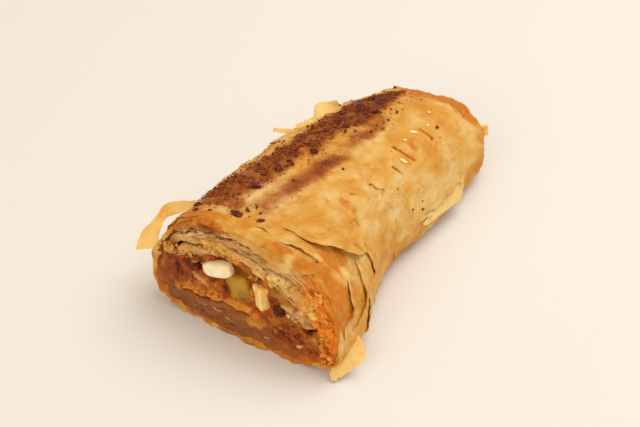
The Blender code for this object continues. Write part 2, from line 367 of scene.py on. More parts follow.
        # Far end: a ridged rim over sides that settle, and folds across the end.
        far = smooth((y - 43) / 7)
        ridge = (0.35 + rough(point, 6.5 * MM, 6.0)) * 1.0 * MM * far * above
        settle = -1.9 * MM * smooth((y - 28) / 22) * band(degrees, 122, 34, 20)
        settle -= 1.6 * MM * smooth((y - 44) / 12) * band(degrees, -2, 26, 16)
        tuck = 0.0
        if along > self.length / 2:
            deep = (along - self.length / 2) / self.cap_reach
            fold = turn * 3.5 + 2.2 * deep + 0.8 * grain(point, 12 * MM, 9.0)
            tuck = (abs(math.sin(fold)) - 0.5) * 2.6 * MM * math.sin(math.pi * min(deep, 1.0))
        foot = rough(point, 3.5 * MM, 15.0) * 0.55 * MM * smooth((-48 - y) / 6) * (1 - above)
        sheets = self.plates(point) * 0.17 * MM
        lines = sum(line.rise(degrees, y) for line in CREASES) * MM
        skin = swell + crease + wrinkle + fine + blister + crisp + hollow + sheets + lines - 0.35 * MM
        return skin * above + ridge + settle + tuck + foot

    def core(self, y: float, turn: float, scale: float = 1.0, grow: float = 0.0) -> Vector:
        """Find a point round the filling.

        Args:
            y: place along the roll.
            turn: turn round the filling.
            scale: share of the way out from its middle.
            grow: how much thicker than plain it is taken to be.

        Returns:
            The point.
        """
        across = math.cos(turn)
        rise = math.copysign((self.core_half_height + grow) * abs(math.sin(turn)) ** 0.8, math.sin(turn))
        x = (self.core_half_width + grow) * across * scale + self.core_middle
        z = mix(14 * MM, through(self.core_line, across) * MM + rise, scale)
        share = min(max(y / self.length + 0.5, 0.0), 1.0)
        left, right, top, waist = self.outline(share)
        right -= waist
        cut_left, cut_right, cut_top, _ = self.outline(0.0)
        width = (right - left) / (cut_right - cut_left)
        height = top / cut_top
        x = (left + right) / 2 * MM + (x - (cut_left + cut_right) / 2 * MM) * width
        return Vector((x, y, z * height))


ROLL = Roll()


def linear(code: str) -> tuple[float, float, float, float]:
    """Turn an sRGB hex colour into the linear colour that a shader takes."""
    values = [int(code[k : k + 2], 16) / 255 for k in (1, 3, 5)]
    return (*(v / 12.92 if v <= 0.04045 else ((v + 0.055) / 1.055) ** 2.4 for v in values), 1.0)


def add_node(tree: Tree, kind: str, settings: dict, links: dict) -> bpy.types.Node:
    """Add a node to a material.

    Args:
        tree: the material's node tree.
        kind: the node's type name.
        settings: properties by name, and input values by socket name or number.
        links: output sockets by the name or number of the input they feed.

    Returns:
        The new node.
    """
    node = tree.nodes.new(kind)
    for key, value in settings.items():
        if isinstance(key, str) and hasattr(node, key):
            setattr(node, key, value)
        else:
            node.inputs[key].default_value = value
    for key, socket in links.items():
        tree.links.new(socket, node.inputs[key])
    return node


def ramp(tree: Tree, socket: Socket, stops: Sequence[tuple[float, str]]) -> Socket:
    """Put a colour ramp on a socket.

    Args:
        tree: the node tree.
        socket: the value that runs along the ramp.
        stops: pairs of place and hex colour.

    Returns:
        The ramp's colour socket.
    """
    node = add_node(tree, "ShaderNodeValToRGB", {}, {0: socket})
    elements = node.color_ramp.elements
    while len(elements) < len(stops):
        elements.new(0.5)
    for element, (place, code) in zip(elements, stops):
        element.position = place
        element.color = linear(code)
    return node.outputs["Color"]


@dataclass(frozen=True)
class Finish:
    """A surface finish: subclasses add the node network that gives it its look."""

    name: str
    roughness: float = 0.5
    specular: float = 0.4
    subsurface: float = 0.0
    subsurface_radius: tuple[float, float, float] = (1.0, 0.5, 0.2)
    subsurface_scale: float = 1.0 * MM
    coat: float = 0.0
    coat_roughness: float = 0.15

    def begin(self) -> tuple[bpy.types.Material, Tree, bpy.types.Node, Socket]:
        """Start the material.

        Returns:
            The material, its tree, its shader and its object coordinates.
        """
        material = bpy.data.materials.new(self.name)
        material.use_nodes = True
        tree = material.node_tree
        shader = tree.nodes["Principled BSDF"]
        values = {
            "Roughness": self.roughness, "Specular IOR Level": self.specular, "Coat Weight": self.coat,
            "Coat Roughness": self.coat_roughness, "Subsurface Weight": self.subsurface,
            "Subsurface Radius": self.subsurface_radius, "Subsurface Scale": self.subsurface_scale,
        }
        for key, value in values.items():
            shader.inputs[key].default_value = value
        place = add_node(tree, "ShaderNodeTexCoord", {}, {})
        return material, tree, shader, place.outputs["Object"]


def mixed(tree: Tree, share: Socket | float, a: Socket | str, b: Socket | str, blend: str = "MIX") -> Socket:
    """Mix two colours.

    Args:
        tree: the node tree.
        share: share of the second colour, as a socket or a number.
        a: the first colour, as a socket or a hex colour.
        b: the second colour.
        blend: the way they are mixed.

    Returns:
        The mixed colour's socket.
    """
    node = tree.nodes.new("ShaderNodeMix")
    node.data_type = "RGBA"
    node.blend_type = blend
    for index, value in ((0, share), (6, a), (7, b)):
        if isinstance(value, str):
            node.inputs[index].default_value = linear(value)
        elif isinstance(value, float):
            node.inputs[index].default_value = value
        else:
            tree.links.new(value, node.inputs[index])
    return node.outputs[2]


def span(
    tree: Tree, socket: Socket, low: float, high: float, to_low: float = 0.0, to_high: float = 1.0,
) -> Socket:
    """Map a socket's range onto another, kept within it.

    Args:
        tree: the node tree.
        socket: the value.
        low: the value that becomes to_low.
        high: the value that becomes to_high.
        to_low: one end of the new range.
        to_high: its other end.

    Returns:
        The mapped value's socket.
    """
    settings = {"clamp": True, 1: low, 2: high, 3: to_low, 4: to_high}
    return add_node(tree, "ShaderNodeMapRange", settings, {0: socket}).outputs[0]


def total(tree: Tree, *parts: Socket | tuple[Socket, float]) -> Socket:
    """Add sockets up.

    Args:
        tree: the node tree.
        parts: sockets, each alone or with the factor that it is multiplied by.

    Returns:
        The sum's socket.
    """
    result = None
    for part in parts:
        socket, factor = part if isinstance(part, tuple) else (part, 1.0)
        node = add_node(tree, "ShaderNodeMath", {"operation": "MULTIPLY_ADD", 1: factor, 2: 0.0}, {0: socket})
        if result is not None:
            tree.links.new(result, node.inputs[2])
        result = node.outputs[0]
    return result


def speckle(
    tree: Tree, place: Socket, size: float, detail: float = 2.0, stretch: tuple[float, float, float] = PLAIN,
) -> Socket:
    """Add noise around 0.

    Args:
        tree: the node tree.
        place: coordinates.
        size: width of its lumps in metres.
        detail: how many finer octaves it has.
        stretch: how far the lumps are drawn out each way.

    Returns:
        The noise's value socket, mostly between -0.5 and 0.5.
    """
    settings = {"Scale": tuple(1 / s for s in stretch)}
    mapped = add_node(tree, "ShaderNodeMapping", settings, {0: place}).outputs[0]
    made = add_node(tree, "ShaderNodeTexNoise", {"Scale": 1 / size, "Detail": detail}, {"Vector": mapped})
    middle = {"operation": "SUBTRACT", 1: 0.5}
    return add_node(tree, "ShaderNodeMath", middle, {0: made.outputs[0]}).outputs[0]


def attribute(tree: Tree, name: str, output: str = "Fac") -> Socket:
    """Socket of a mesh attribute."""
    return add_node(tree, "ShaderNodeAttribute", {"attribute_name": name}, {}).outputs[output]


def bump(tree: Tree, shader: bpy.types.Node, layers: Sequence[tuple[Socket, float]]) -> None:
    """Stack bumps on a shader.

    Args:
        tree: the node tree.
        shader: the shader whose normal they turn.
        layers: pairs of height socket and depth in metres.
    """
    normal = None
    for height, depth in layers:
        links = {"Height": height}
        if normal is not None:
            links["Normal"] = normal
        normal = add_node(tree, "ShaderNodeBump", {"Strength": 1.0, "Distance": depth}, links).outputs[0]
    tree.links.new(normal, shader.inputs["Normal"])


@dataclass(frozen=True)
class BakedFilo(Finish):
    """Filo brushed with butter and baked: papery, golden, orange-brown where it blistered.

    The sheets are under half a millimetre thick, so light glows through torn edges, and butter
    leaves satin patches among dry ones. Two mesh attributes drive it: the browning, which also
    holds painted shade in creases, slits, pleat pockets and under lifted edges, and spice, the
    cinnamon sugar that lies on it.
    """

    pale: str = "#E4C27E"
    golden: str = "#D8A246"
    amber: str = "#CE892A"
    toasted: str = "#BE6412"
    burnt: str = "#7C3A0E"
    cinnamon: str = "#A4520E"
    dark_cinnamon: str = "#6A2A0C"

    def build(self) -> bpy.types.Material:
        """Make the material."""
        material, tree, shader, place = self.begin()
        toast_and_shade = attribute(tree, "toast_and_shade")
        spice = attribute(tree, "spice")
        # Patches some 16 mm wide are paler or more golden, with 4 mm mottling in them.
        broad = speckle(tree, place, 16 * MM, 3.0)
        mottle = speckle(tree, place, 4.5 * MM, 4.0, (1.0, 1.8, 1.0))
        base = ramp(
            tree, span(tree, total(tree, broad, (mottle, 0.8)), -0.25, 0.25),
            ((0.0, self.pale), (0.55, self.golden), (1.0, self.amber)),
        )
        # Browning, with painted shade in creases, slits and under lifted edges, is broken up by 2.5 mm noise.
        breakup = speckle(tree, place, 2.5 * MM, 5.0)
        brown = total(tree, toast_and_shade, (breakup, 0.9))
        base = mixed(tree, span(tree, brown, 0.05, 0.5), base, self.amber)
        base = mixed(tree, span(tree, brown, 0.4, 0.95), base, self.toasted)
        base = mixed(tree, span(tree, brown, 0.9, 1.4), base, self.burnt)
        # Thin brown flecks of caramelised butter, about 0.6 mm.
        fleck = speckle(tree, place, 0.9 * MM, 2.0, (1.0, 0.6, 1.0))
        base = mixed(tree, span(tree, fleck, 0.14, 0.26, 0.0, 0.3), base, self.toasted)
        # Cinnamon sugar: soft 4 mm clouds of powder, thickened into 0.5 mm grains.
        cloud = speckle(tree, place, 4 * MM, 3.0)
        dust = speckle(tree, place, 0.6 * MM, 3.0)
        powder = total(tree, spice, (cloud, 0.7), (dust, 0.7))
        base = mixed(tree, span(tree, powder, 0.12, 0.62, 0.0, 0.92), base, self.cinnamon)
        base = mixed(tree, span(tree, powder, 0.66, 1.1), base, self.dark_cinnamon)
        tree.links.new(base, shader.inputs["Base Color"])
        # Butter left satin patches some 6 mm wide among drier ones.
        butter = speckle(tree, place, 6 * MM, 2.0)
        tree.links.new(span(tree, butter, -0.12, 0.2, 0.6, 0.26), shader.inputs["Roughness"])
        fine = speckle(tree, place, 1.3 * MM, 4.0, (1.0, 0.45, 1.0))
        grit = add_node(tree, "ShaderNodeMath", {"operation": "MULTIPLY"}, {0: dust, 1: spice}).outputs[0]
        bump(tree, shader, ((mottle, 0.5 * MM), (fine, 0.25 * MM), (grit, 0.7 * MM)))
        return material


@dataclass(frozen=True)
class PaintedFood(Finish):
    """Food whose colours are laid on the mesh as paint, with procedural mottling and wet spots.

    The paint attribute gives each place its colour: crisp golden layer edges, dough greyed by
    juice, brown stewed apple. The noise darkens and deepens it the way cooked food varies.
    """

    mottle_size: float = 1.6 * MM
    grain_size: float = 0.45 * MM
    depth: float = 0.35 * MM
    contrast: float = 1.0
    dry: float = 0.6
    wet: float = 0.3
    juice: str = "#FFFFFF"

    def build(self) -> bpy.types.Material:
        """Make the material."""
        material, tree, shader, place = self.begin()
        laid = attribute(tree, "paint", "Color")
        mottle = speckle(tree, place, self.mottle_size, 4.0)
        fine = speckle(tree, place, self.grain_size, 3.0)
        shade = span(tree, total(tree, mottle, (fine, 0.6)), -0.3, 0.3, 0.0, 0.55 * self.contrast)
        stained = mixed(tree, 1.0, laid, self.juice, "MULTIPLY")
        deep = mixed(tree, 1.0, stained, "#C08450", "MULTIPLY")
        tree.links.new(mixed(tree, shade, stained, deep), shader.inputs["Base Color"])
        tree.links.new(span(tree, mottle, -0.15, 0.15, self.wet, self.dry), shader.inputs["Roughness"])
        bump(tree, shader, ((mottle, self.depth), (fine, self.depth * 0.4)))
        return material


@dataclass(frozen=True)
class TwoTone(Finish):
    """A piece of fruit, nut, butter or sugar: a main colour, a second in soft patches, and fine grain."""

    main: str = "#E8D2A0"
    patch: str = "#D2B070"
    patch_size: float = 3 * MM
    patch_low: float = -0.12
    patch_high: float = 0.16
    grain_size: float = 0.6 * MM
    grain_detail: float = 3.0
    grain_depth: float = 0.1 * MM
    stretch: tuple[float, float, float] = PLAIN

    def build(self) -> bpy.types.Material:
        """Make the material."""
        material, tree, shader, place = self.begin()
        patches = speckle(tree, place, self.patch_size, 3.0, self.stretch)
        share = span(tree, patches, self.patch_low, self.patch_high)
        tree.links.new(mixed(tree, share, self.main, self.patch), shader.inputs["Base Color"])
        fine = speckle(tree, place, self.grain_size, self.grain_detail, self.stretch)
        bump(tree, shader, ((fine, self.grain_depth),))
        return material


def grid(
    columns: int, rows: int, place: Place, layers: Sequence[str] = (), paint_layer: bool = False,
) -> bmesh.types.BMesh:
    """Mesh grid whose vertices are put in place by a function of its two shares.

    Args:
        columns: cells across.
        rows: cells along.
        place: takes the shares across and along, from 0 to 1, and returns the point.
        layers: names of float layers to add beside u and v.
        paint_layer: whether to add the colour layer paint.

    Returns:
        The grid, with its shares in the layers u and v.
    """
    bm = bmesh.new()
    for name in ("u", "v", *layers):
        bm.verts.layers.float.new(name)
    if paint_layer:
        bm.verts.layers.float_color.new("paint")
    u_layer, v_layer = bm.verts.layers.float["u"], bm.verts.layers.float["v"]
    bmesh.ops.create_grid(bm, x_segments=columns, y_segments=rows, size=0.5)
    for vert in bm.verts:
        u, v = vert.co.x + 0.5, vert.co.y + 0.5
        vert[u_layer], vert[v_layer] = u, v
        vert.co = place(u, v)
    return bm


def close(bm: bmesh.types.BMesh, gap: float = 0.002 * MM) -> None:
    """Weld a wrapped grid's seam and poles, and turn its faces outwards."""
    bmesh.ops.remove_doubles(bm, verts=bm.verts, dist=gap)
    bmesh.ops.dissolve_degenerate(bm, dist=gap / 4, edges=bm.edges)
    bmesh.ops.recalc_face_normals(bm, faces=bm.faces)


def thicken(bm: bmesh.types.BMesh, thickness: float) -> None:
    """Give an open sheet a thickness, as a closed wall under it.

    Args:
        bm: the sheet.
        thickness: the wall's, in metres.
    """
    bmesh.ops.recalc_face_normals(bm, faces=bm.faces)
    bm.normal_update()
    made = bmesh.ops.extrude_face_region(bm, geom=list(bm.faces), use_keep_orig=True)
    for vert in made["geom"]:
        if isinstance(vert, bmesh.types.BMVert):
            vert.co -= vert.normal * thickness
    bmesh.ops.recalc_face_normals(bm, faces=bm.faces)


def paint(bm: bmesh.types.BMesh, name: str, value: Callable[[Vert, float, float], float]) -> None:
    """Fill a float layer of a grid.

    Args:
        bm: the grid.
        name: the layer.
        value: takes a vertex and its shares u and v.
    """
    layer, u_layer, v_layer = (bm.verts.layers.float[key] for key in (name, "u", "v"))
    for vert in bm.verts:
        vert[layer] = value(vert, vert[u_layer], vert[v_layer])


def paint_colour(bm: bmesh.types.BMesh, colour: Callable[[Vert, float, float], Colour]) -> None:
    """Fill the colour layer of a grid.

    Args:
        bm: the grid.
        colour: takes a vertex and its shares u and v.
    """
    layer = bm.verts.layers.float_color["paint"]
    u_layer, v_layer = bm.verts.layers.float["u"], bm.verts.layers.float["v"]
    for vert in bm.verts:
        vert[layer] = (*colour(vert, vert[u_layer], vert[v_layer]), 1.0)


def mesh_of(bm: bmesh.types.BMesh, name: str) -> bpy.types.Mesh:
    """Turn a bmesh into mesh data, and free it."""
    mesh = bpy.data.meshes.new(name)
    bm.to_mesh(mesh)
    bm.free()
    return mesh


def add_object(name: str, data: bpy.types.ID) -> bpy.types.Object:
    """Put an object with the given data into the scene."""
    obj = bpy.data.objects.new(name, data)
    bpy.context.scene.collection.objects.link(obj)
    return obj


def gather(bm: bmesh.types.BMesh, part: bmesh.types.BMesh) -> None:
    """Add a mesh to a bigger one and free it."""
    mesh = mesh_of(part, "part")
    bm.from_mesh(mesh)
    bpy.data.meshes.remove(mesh)


@dataclass
class Workshop:
    """Turns meshes into pieces of the object, and keeps one material of each finish."""

    materials: dict[str, bpy.types.Material] = field(default_factory=dict)
    total: int = 0

    def material(self, finish: Finish) -> bpy.types.Material:
        """The material of a finish, made once."""
        if finish.name not in self.materials:
            self.materials[finish.name] = finish.build()
        return self.materials[finish.name]

    def piece(self, name: str, bm: bmesh.types.BMesh, finish: Finish, replaces: str = "") -> None:
        """Make a finished mesh into a piece that rides on the body.

        Args:
            name: the piece's name.
            bm: its mesh, which is freed.
            finish: what it is made of.
            replaces: the CAD node that it stands for, if any.
        """
        for vert in bm.verts:
            vert.co.z = max(vert.co.z, FLOOR_GAP)
        mesh = mesh_of(bm, name)
        mesh.shade_smooth()
        mesh.set_sharp_from_angle(angle=SHARP_ANGLE)
        mesh.materials.append(self.material(finish))
        obj = add_object(name, mesh)
        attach(obj, BODY)
        if replaces:
            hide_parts(replaces)
        mesh.calc_loop_triangles()
        self.total += len(mesh.loop_triangles)
        log.info("%s: %d triangles", name, len(mesh.loop_triangles))


FILO = BakedFilo("baked_buttered_filo", specular=0.2, subsurface=0.12, subsurface_scale=0.8 * MM)
PALE_FILO = BakedFilo(
    "thin_filo_shard", specular=0.2, subsurface=0.3, subsurface_scale=1.5 * MM,
    pale="#F6D48C", golden="#F2C476", amber="#EAAE54",
)
DOUGH = PaintedFood(
    "cut_filo_layers", specular=0.14, subsurface=0.12, subsurface_scale=0.8 * MM,
    mottle_size=1.3 * MM, wet=0.4, contrast=0.5, juice="#FFF6DA",
)
FRUIT = PaintedFood(
    "cinnamon_apple_filling", specular=0.14, subsurface=0.15, subsurface_scale=1.2 * MM, coat=0.05,
    mottle_size=2.2 * MM, depth=0.4 * MM, wet=0.16, dry=0.5, contrast=0.8, juice="#FFEAB0",
)
ALMOND = TwoTone(
    "blanched_almond", 0.38, 0.4, 0.25, (1.0, 0.7, 0.4),
    main="#FFF4D2", patch="#F8DEA8", grain_depth=0.04 * MM,
)
GREEN_APPLE = TwoTone(
    "stewed_green_apple", 0.28, 0.35, 0.3, (1.0, 0.8, 0.2), 1.5 * MM, 0.1,
    main="#BC8A14", patch="#96700C", patch_size=2.5 * MM,
)
PALE_APPLE = TwoTone(
    "stewed_pale_apple", 0.35, 0.35, 0.3, (1.0, 0.8, 0.3), 1.5 * MM, 0.1, 0.2,
    main="#FFE090", patch="#F0B85C", patch_size=2.2 * MM, stretch=(0.6, 1.0, 2.0),
)
RAISIN = TwoTone(
    "plump_raisin", 0.35, 0.2, 0.1, coat=0.1, main="#4A1C0C", patch="#743214", patch_size=1.4 * MM,
    grain_depth=0.25 * MM,
)
# Crumbs differ in colour over about a millimetre.
CRUMB = TwoTone(
    "baked_cinnamon_sugar", 0.7, 0.3, main="#5C2008", patch="#B0581A", patch_size=1.2 * MM, patch_low=-0.14,
    grain_size=0.35 * MM, grain_detail=2.0, grain_depth=0.12 * MM,
)
DARK_CRUMB = replace(
    CRUMB, name="burnt_cinnamon_sugar", roughness=0.6, specular=0.35, main="#3A1005", patch="#7C340E",
)
BUTTER = TwoTone(
    "set_butter", 0.12, 0.6, 0.3, (1.0, 0.8, 0.4), coat=0.5, coat_roughness=0.05,
    main="#FFEFB8", patch="#FBE09A",
)


@dataclass(frozen=True)
class SugarBand:
    """The band of cinnamon sugar along the roll's upper left, and the fainter smear beside it."""

    middle: Stations = (
        (-50, 117), (-42, 120), (-35, 114), (-25, 108.5), (-15, 105), (-8, 103), (0, 106),
        (8, 105.5), (15, 104), (25, 105), (35, 107), (46, 108),
    )
    half: Stations = (
        (-50, 20), (-42, 18), (-35, 16), (-25, 13.5), (-15, 10), (-8, 11), (0, 10.5),
        (8, 11.5), (15, 14), (25, 13), (35, 13), (46, 10),
    )
    smear: Stations = (
        (-47, 93.6), (-37.6, 90.2), (-31, 88.8), (-26, 85.5), (-19.5, 84.2), (-10.4, 83.8), (-7.2, 82),
        (-3, 84.7), (3.3, 87), (11, 86), (18.5, 89),
    )
    strength: Stations = (
        (-50, 0), (-45, 0.5), (-37, 0.58), (-26, 0.8), (-14, 1), (-9, 0.85), (-6, 0.5), (-2, 0.5),
        (6, 0.72), (14, 0.72), (20, 0.5), (25, 0),
    )
    start: float = -51.0
    end: float = 47.0

    def amount(self, point: Vector, turn: float) -> float:
        """How much cinnamon sugar lies at a point.

        Args:
            point: the point on the skin.
            turn: its turn round the roll.

        Returns:
            The amount, from 0 to about 1.2.
        """
        y, degrees = point.y / MM, math.degrees(turn)
        if not 70 < degrees < 150:
            return 0.0
        ends = smooth((y - self.start) / 3) * smooth((self.end - y) / 5)
        inside = band(degrees, through(self.middle, y), through(self.half, y), 4.5)
        dark = 0.72 + 0.27 * smooth((y - 4) / 20) + 0.3 * rough(point, 3.2 * MM, 5.5)
        streak = band(degrees, through(self.smear, y), 5.0, 4.5) * through(self.strength, y)
        return max(inside * ends * dark, streak * (0.85 + 0.5 * grain(point, 6 * MM, 4.4)))


SUGAR = SugarBand()


@dataclass(frozen=True)
class Blot:
    """A soft patch of the skin: degrees and Y of its middle, half sizes in millimetres, and browning or
    painted shade.
    """

    turn: float
    y: float
    wide: float
    long: float
    toast_and_shade: float

    def brown(self, degrees: float, y: float) -> float:
        """Browning at a spot, which for a few blots is painted shade."""
        far = math.hypot((degrees - self.turn) * DEGREE_MM / self.wide, (y - self.y) / self.long)
        return self.toast_and_shade * smooth(1.5 - far) if far < 1.5 else 0.0


BLOTS = (
    Blot(60.7, -26.3, 2.2, 1.6, 0.45), Blot(52.2, -25.6, 1.8, 1.4, 0.5), Blot(56.5, -26.5, 4.5, 4, 0.18),
    Blot(48.9, -5.6, 2.6, 2.4, 0.25), Blot(54.3, -11.6, 2.2, 1.2, 0.35), Blot(54, -18.5, 4, 2.6, 0.25),
    Blot(61, 15.5, 2.6, 2.6, 0.4), Blot(56.2, 13.7, 2.2, 2, 0.35), Blot(63.1, 9.6, 3, 2, 0.3),
    Blot(39.7, 2.8, 2.4, 2.4, 0.2), Blot(48.2, 50.8, 5, 4.5, 0.35), Blot(60.4, 49, 6, 3.6, 0.3),
    Blot(80, 49, 8, 3.6, 0.5), Blot(101, 51, 5, 3, 0.3), Blot(43.8, -45, 1.4, 1.3, 0.7),
    Blot(37.4, -59.8, 0.8, 0.7, 0.9), Blot(30, -56.2, 1.5, 0.6, 0.9), Blot(71.5, -55.8, 2.6, 1, 0.5),
    # The blots at 18.5 and 24 degrees, near Y -52 and -44.5, are painted shade in the pockets by the pleats.
    Blot(18.5, -52, 1.6, 3.4, 0.45), Blot(24, -44.5, 3, 2.2, 0.3), Blot(54.7, -52.4, 0.8, 0.6, 0.3),
    # The blots at 53 and 43 degrees, near Y -47.4 and -43.2, are painted shade under the outer wrap's lifted
    # edge.
    Blot(53, -47.4, 7, 1.9, 0.55), Blot(43, -43.2, 5, 1.9, 0.55), Blot(89.3, -49.6, 0.9, 0.8, 0.7),
    Blot(57, -57, 3.5, 2.2, 0.35), Blot(73, -46.5, 6, 3.6, 0.22), Blot(60, -31, 5, 3, 0.2),
    Blot(46, -22, 6, 4.5, -0.22), Blot(40, 10, 9, 9, -0.25), Blot(28, 24, 7, 9, -0.22),
    Blot(68, -36, 4.5, 4, -0.15), Blot(92, -34, 3, 9, -0.2), Blot(88, -8, 3, 6, -0.22),
    Blot(74, 28, 6, 9, -0.15), Blot(5, 22, 5, 18, -0.3), Blot(128, 0, 6, 24, -0.15),
    Blot(75, -57.4, 3.2, 1.6, 0.5), Blot(84, -50.5, 4.5, 2.2, 0.25), Blot(92, 44, 5, 3.2, 0.35),
    Blot(61.6, -22.5, 4, 3, 0.14), Blot(39.5, -44.6, 3.4, 3.6, -0.35),
)


def toast_and_shade_at(point: Vector, turn: float) -> float:
    """How browned the skin is at a point, with painted shade in its creases, slits, pleat pockets and under
    lifted edges.

    Args:
        point: the point.
        turn: its turn round the roll.

    Returns:
        The browning with the painted shade, from about -0.5 where it is palest to 1 and more in the slits,
        whose dark grooves are painted shade.
    """
    y, degrees = point.y / MM, math.degrees(turn)
    # Browner near the cut and at the far end, paler low on the right side, uneven from sheet to sheet.
    near = math.exp(-(((y + 54) / 6.5) ** 2)) * band(degrees, 40, 24, 12)
    near *= 0.66 + 0.4 * grain(point, 5 * MM, 31.0)
    scorch = smooth((-51 - y) / 4) * band(degrees, 124, 24, 9) * (0.6 + 0.5 * grain(point, 3 * MM, 33.0))
    far = smooth((y - 45) / 7) * (0.3 + 0.3 * band(degrees, 70, 35, 25))
    under = smooth((6 - point.z / MM) / 6) * 0.2
    side = -0.3 * band(degrees, 22, 26, 16) * smooth((y + 34) / 14)
    patch = max(grain(point, 13 * MM, 12.0), 0.0) * 0.3
    plate = noise.noise(Vector((math.floor(ROLL.plates(point) + 0.5) * 2.7, 0.4, 1.0))) * 0.22
    # The rim under the cut is browned in spots.
    back = (point.y - ROLL.cut_y(point.z)) / MM
    foot = smooth(1.6 - back / 1.6) * smooth((24 - point.z / MM) / 8)
    foot *= 0.34 + 0.9 * grain(point, 4 * MM, 35.0)
    blots = sum(blot.brown(degrees, y) for blot in BLOTS)
    # Painted shade along the grooves of the creases and slits, added past the cap.
    lines = sum(line.brown(degrees, y) for line in CREASES)
    return min(near + scorch + far + under + side + patch + plate + blots + foot, 0.66) + lines


def skin_alone(vert: Vert, u: float, v: float) -> float:
    """No browning on top of the skin's own."""
    return 0.0


def dress_filo(bm: bmesh.types.BMesh, added: Callable[[Vert, float, float], float] = skin_alone) -> None:
    """Fill the browning layer, which also holds painted shade, and the spice layer of a piece of filo from
    where it lies.

    Args:
        bm: the piece, a grid with its turns in the layer turn.
        added: browning on top of what the skin has there, from a vertex and its shares.
    """
    turn = bm.verts.layers.float["turn"]
    paint(bm, "toast_and_shade", lambda vert, u, v: toast_and_shade_at(vert.co, vert[turn]) + added(vert, u, v))
    paint(bm, "spice", lambda vert, u, v: SUGAR.amount(vert.co, vert[turn]))


@dataclass
class Crust:
    """The roll's outer filo: a closed wall, open round the cut and tucked in at the far end."""

    columns: int = 280
    rows: int = 330
    wall: float = 1.4 * MM
    inset: float = 3.2 * MM
    depth: float = 14 * MM
    cap_share: float = 0.13
    inner_share: float = 0.06
    rim_share: float = 0.02

    def front(self, turn: float) -> float:
        """Y of the ragged front rim."""
        point = ROLL.section(-ROLL.length / 2, turn)
        low = smooth((11 * MM - point.z) / (8 * MM))
        ragged = rough(point, 5 * MM, 2.2) * 0.7 * MM + grain(point, 1.3 * MM, 6.1) * 0.35 * MM
        return ROLL.cut_y(point.z) + mix(0.5, -0.15, low) * MM + ragged * (1 + 0.5 * low)

    def thickness(self, turn: float) -> float:
        """Thickness of the wall at its front rim, which is thin and uneven under the cut."""
        point = ROLL.section(-ROLL.length / 2, turn)
        low = smooth((11 * MM - point.z) / (8 * MM))
        side = mix(0.35, 0.55, smooth((point.x / MM + 24) / 14))
        return self.wall * mix(1.0, side * (1 + 0.9 * grain(point, 6 * MM, 17.0)), low)

    def turn(self, u: float) -> float:
        """Turn of a column, from under the roll round its right side; columns are closer on its top."""
        crowd, middle = 0.055, 2 * math.pi * 0.44
        shift = crowd * (math.sin(2 * math.pi * u - middle) + math.sin(middle))
        return 2 * math.pi * (u - shift) - math.pi / 2

    def place(self, u: float, v: float) -> Vector:
        """Find a point of the wall.

        Args:
            u: share of the way round the roll.
            v: share of the way from inside, round the front rim, along the roll and over its end.

        Returns:
            The point.
        """
        turn = self.turn(u)
        front = self.front(turn)
        back = -ROLL.length / 2 + self.depth
        wall = self.thickness(turn)
        if v < self.inner_share:
            share = v / self.inner_share
            if share < 0.4:
                point = ROLL.section(back, turn, -self.inset)
                middle = Vector((0, back, 15 * MM))
                return middle.lerp(point, share / 0.4)
            y = mix(back, front, (share - 0.4) / 0.6)
            return ROLL.section(y, turn, -mix(wall, self.inset, smooth((y - front) / (3 * MM))))
        if v < self.inner_share + self.rim_share:
            share = (v - self.inner_share) / self.rim_share
            return ROLL.skin(front - 0.2 * MM * math.sin(math.pi * share), turn, -wall * (1 - share))
        along = (v - self.inner_share - self.rim_share) / (1 - self.inner_share - self.rim_share)
        if along < 1 - self.cap_share:
            return ROLL.skin(mix(front, ROLL.length / 2, along / (1 - self.cap_share)), turn)
        over = (along - 1 + self.cap_share) / self.cap_share
        return ROLL.skin(ROLL.length / 2 + ROLL.cap_reach * min(over, 0.9999), turn)

    def build(self, shop: Workshop) -> None:
        """Make the crust."""
        bm = grid(self.columns, self.rows, self.place, ("turn", "toast_and_shade", "spice"))
        paint(bm, "turn", lambda vert, u, v: self.turn(u))
        dress_filo(bm)
        close(bm)
        shop.piece("filo_crust", bm, FILO, replaces="pastry")


class Edge(Enum):
    """An edge of a sheet that lies on the roll."""

    FRONT = "front"
    BACK = "back"
    RIGHT = "right"
    LEFT = "left"


def even(value: float) -> Stations:
    """Stations of a value that is the same all round the roll."""
    return ((-180.0, value), (360.0, value))


@dataclass(frozen=True)
class Sheet:
    """A thin sheet of filo on the roll, from its right side, u 0, to its left side, u 1, in degrees.

    A kind of sheet has columns and rows, and says where its points are and how browned they are.
    """

    name: str
    right: float
    left: float

    def degrees(self, u: float) -> float:
        """Degrees round the roll at a share of the way across."""
        return mix(self.right, self.left, u)

    def place(self, u: float, v: float) -> Vector:
        """Point of the sheet at two shares."""
        raise NotImplementedError

    def browning(self, vert: Vert, u: float, v: float) -> float:
        """Browning on top of what the skin has there."""
        raise NotImplementedError

    def build(self, shop: Workshop) -> None:
        """Make the sheet."""
        bm = grid(self.columns, self.rows, self.place, ("turn", "toast_and_shade", "spice"))
        paint(bm, "turn", lambda vert, u, v: math.radians(self.degrees(u)))
        dress_filo(bm, self.browning)
        thicken(bm, SHEET)
        shop.piece(self.name, bm, FILO)


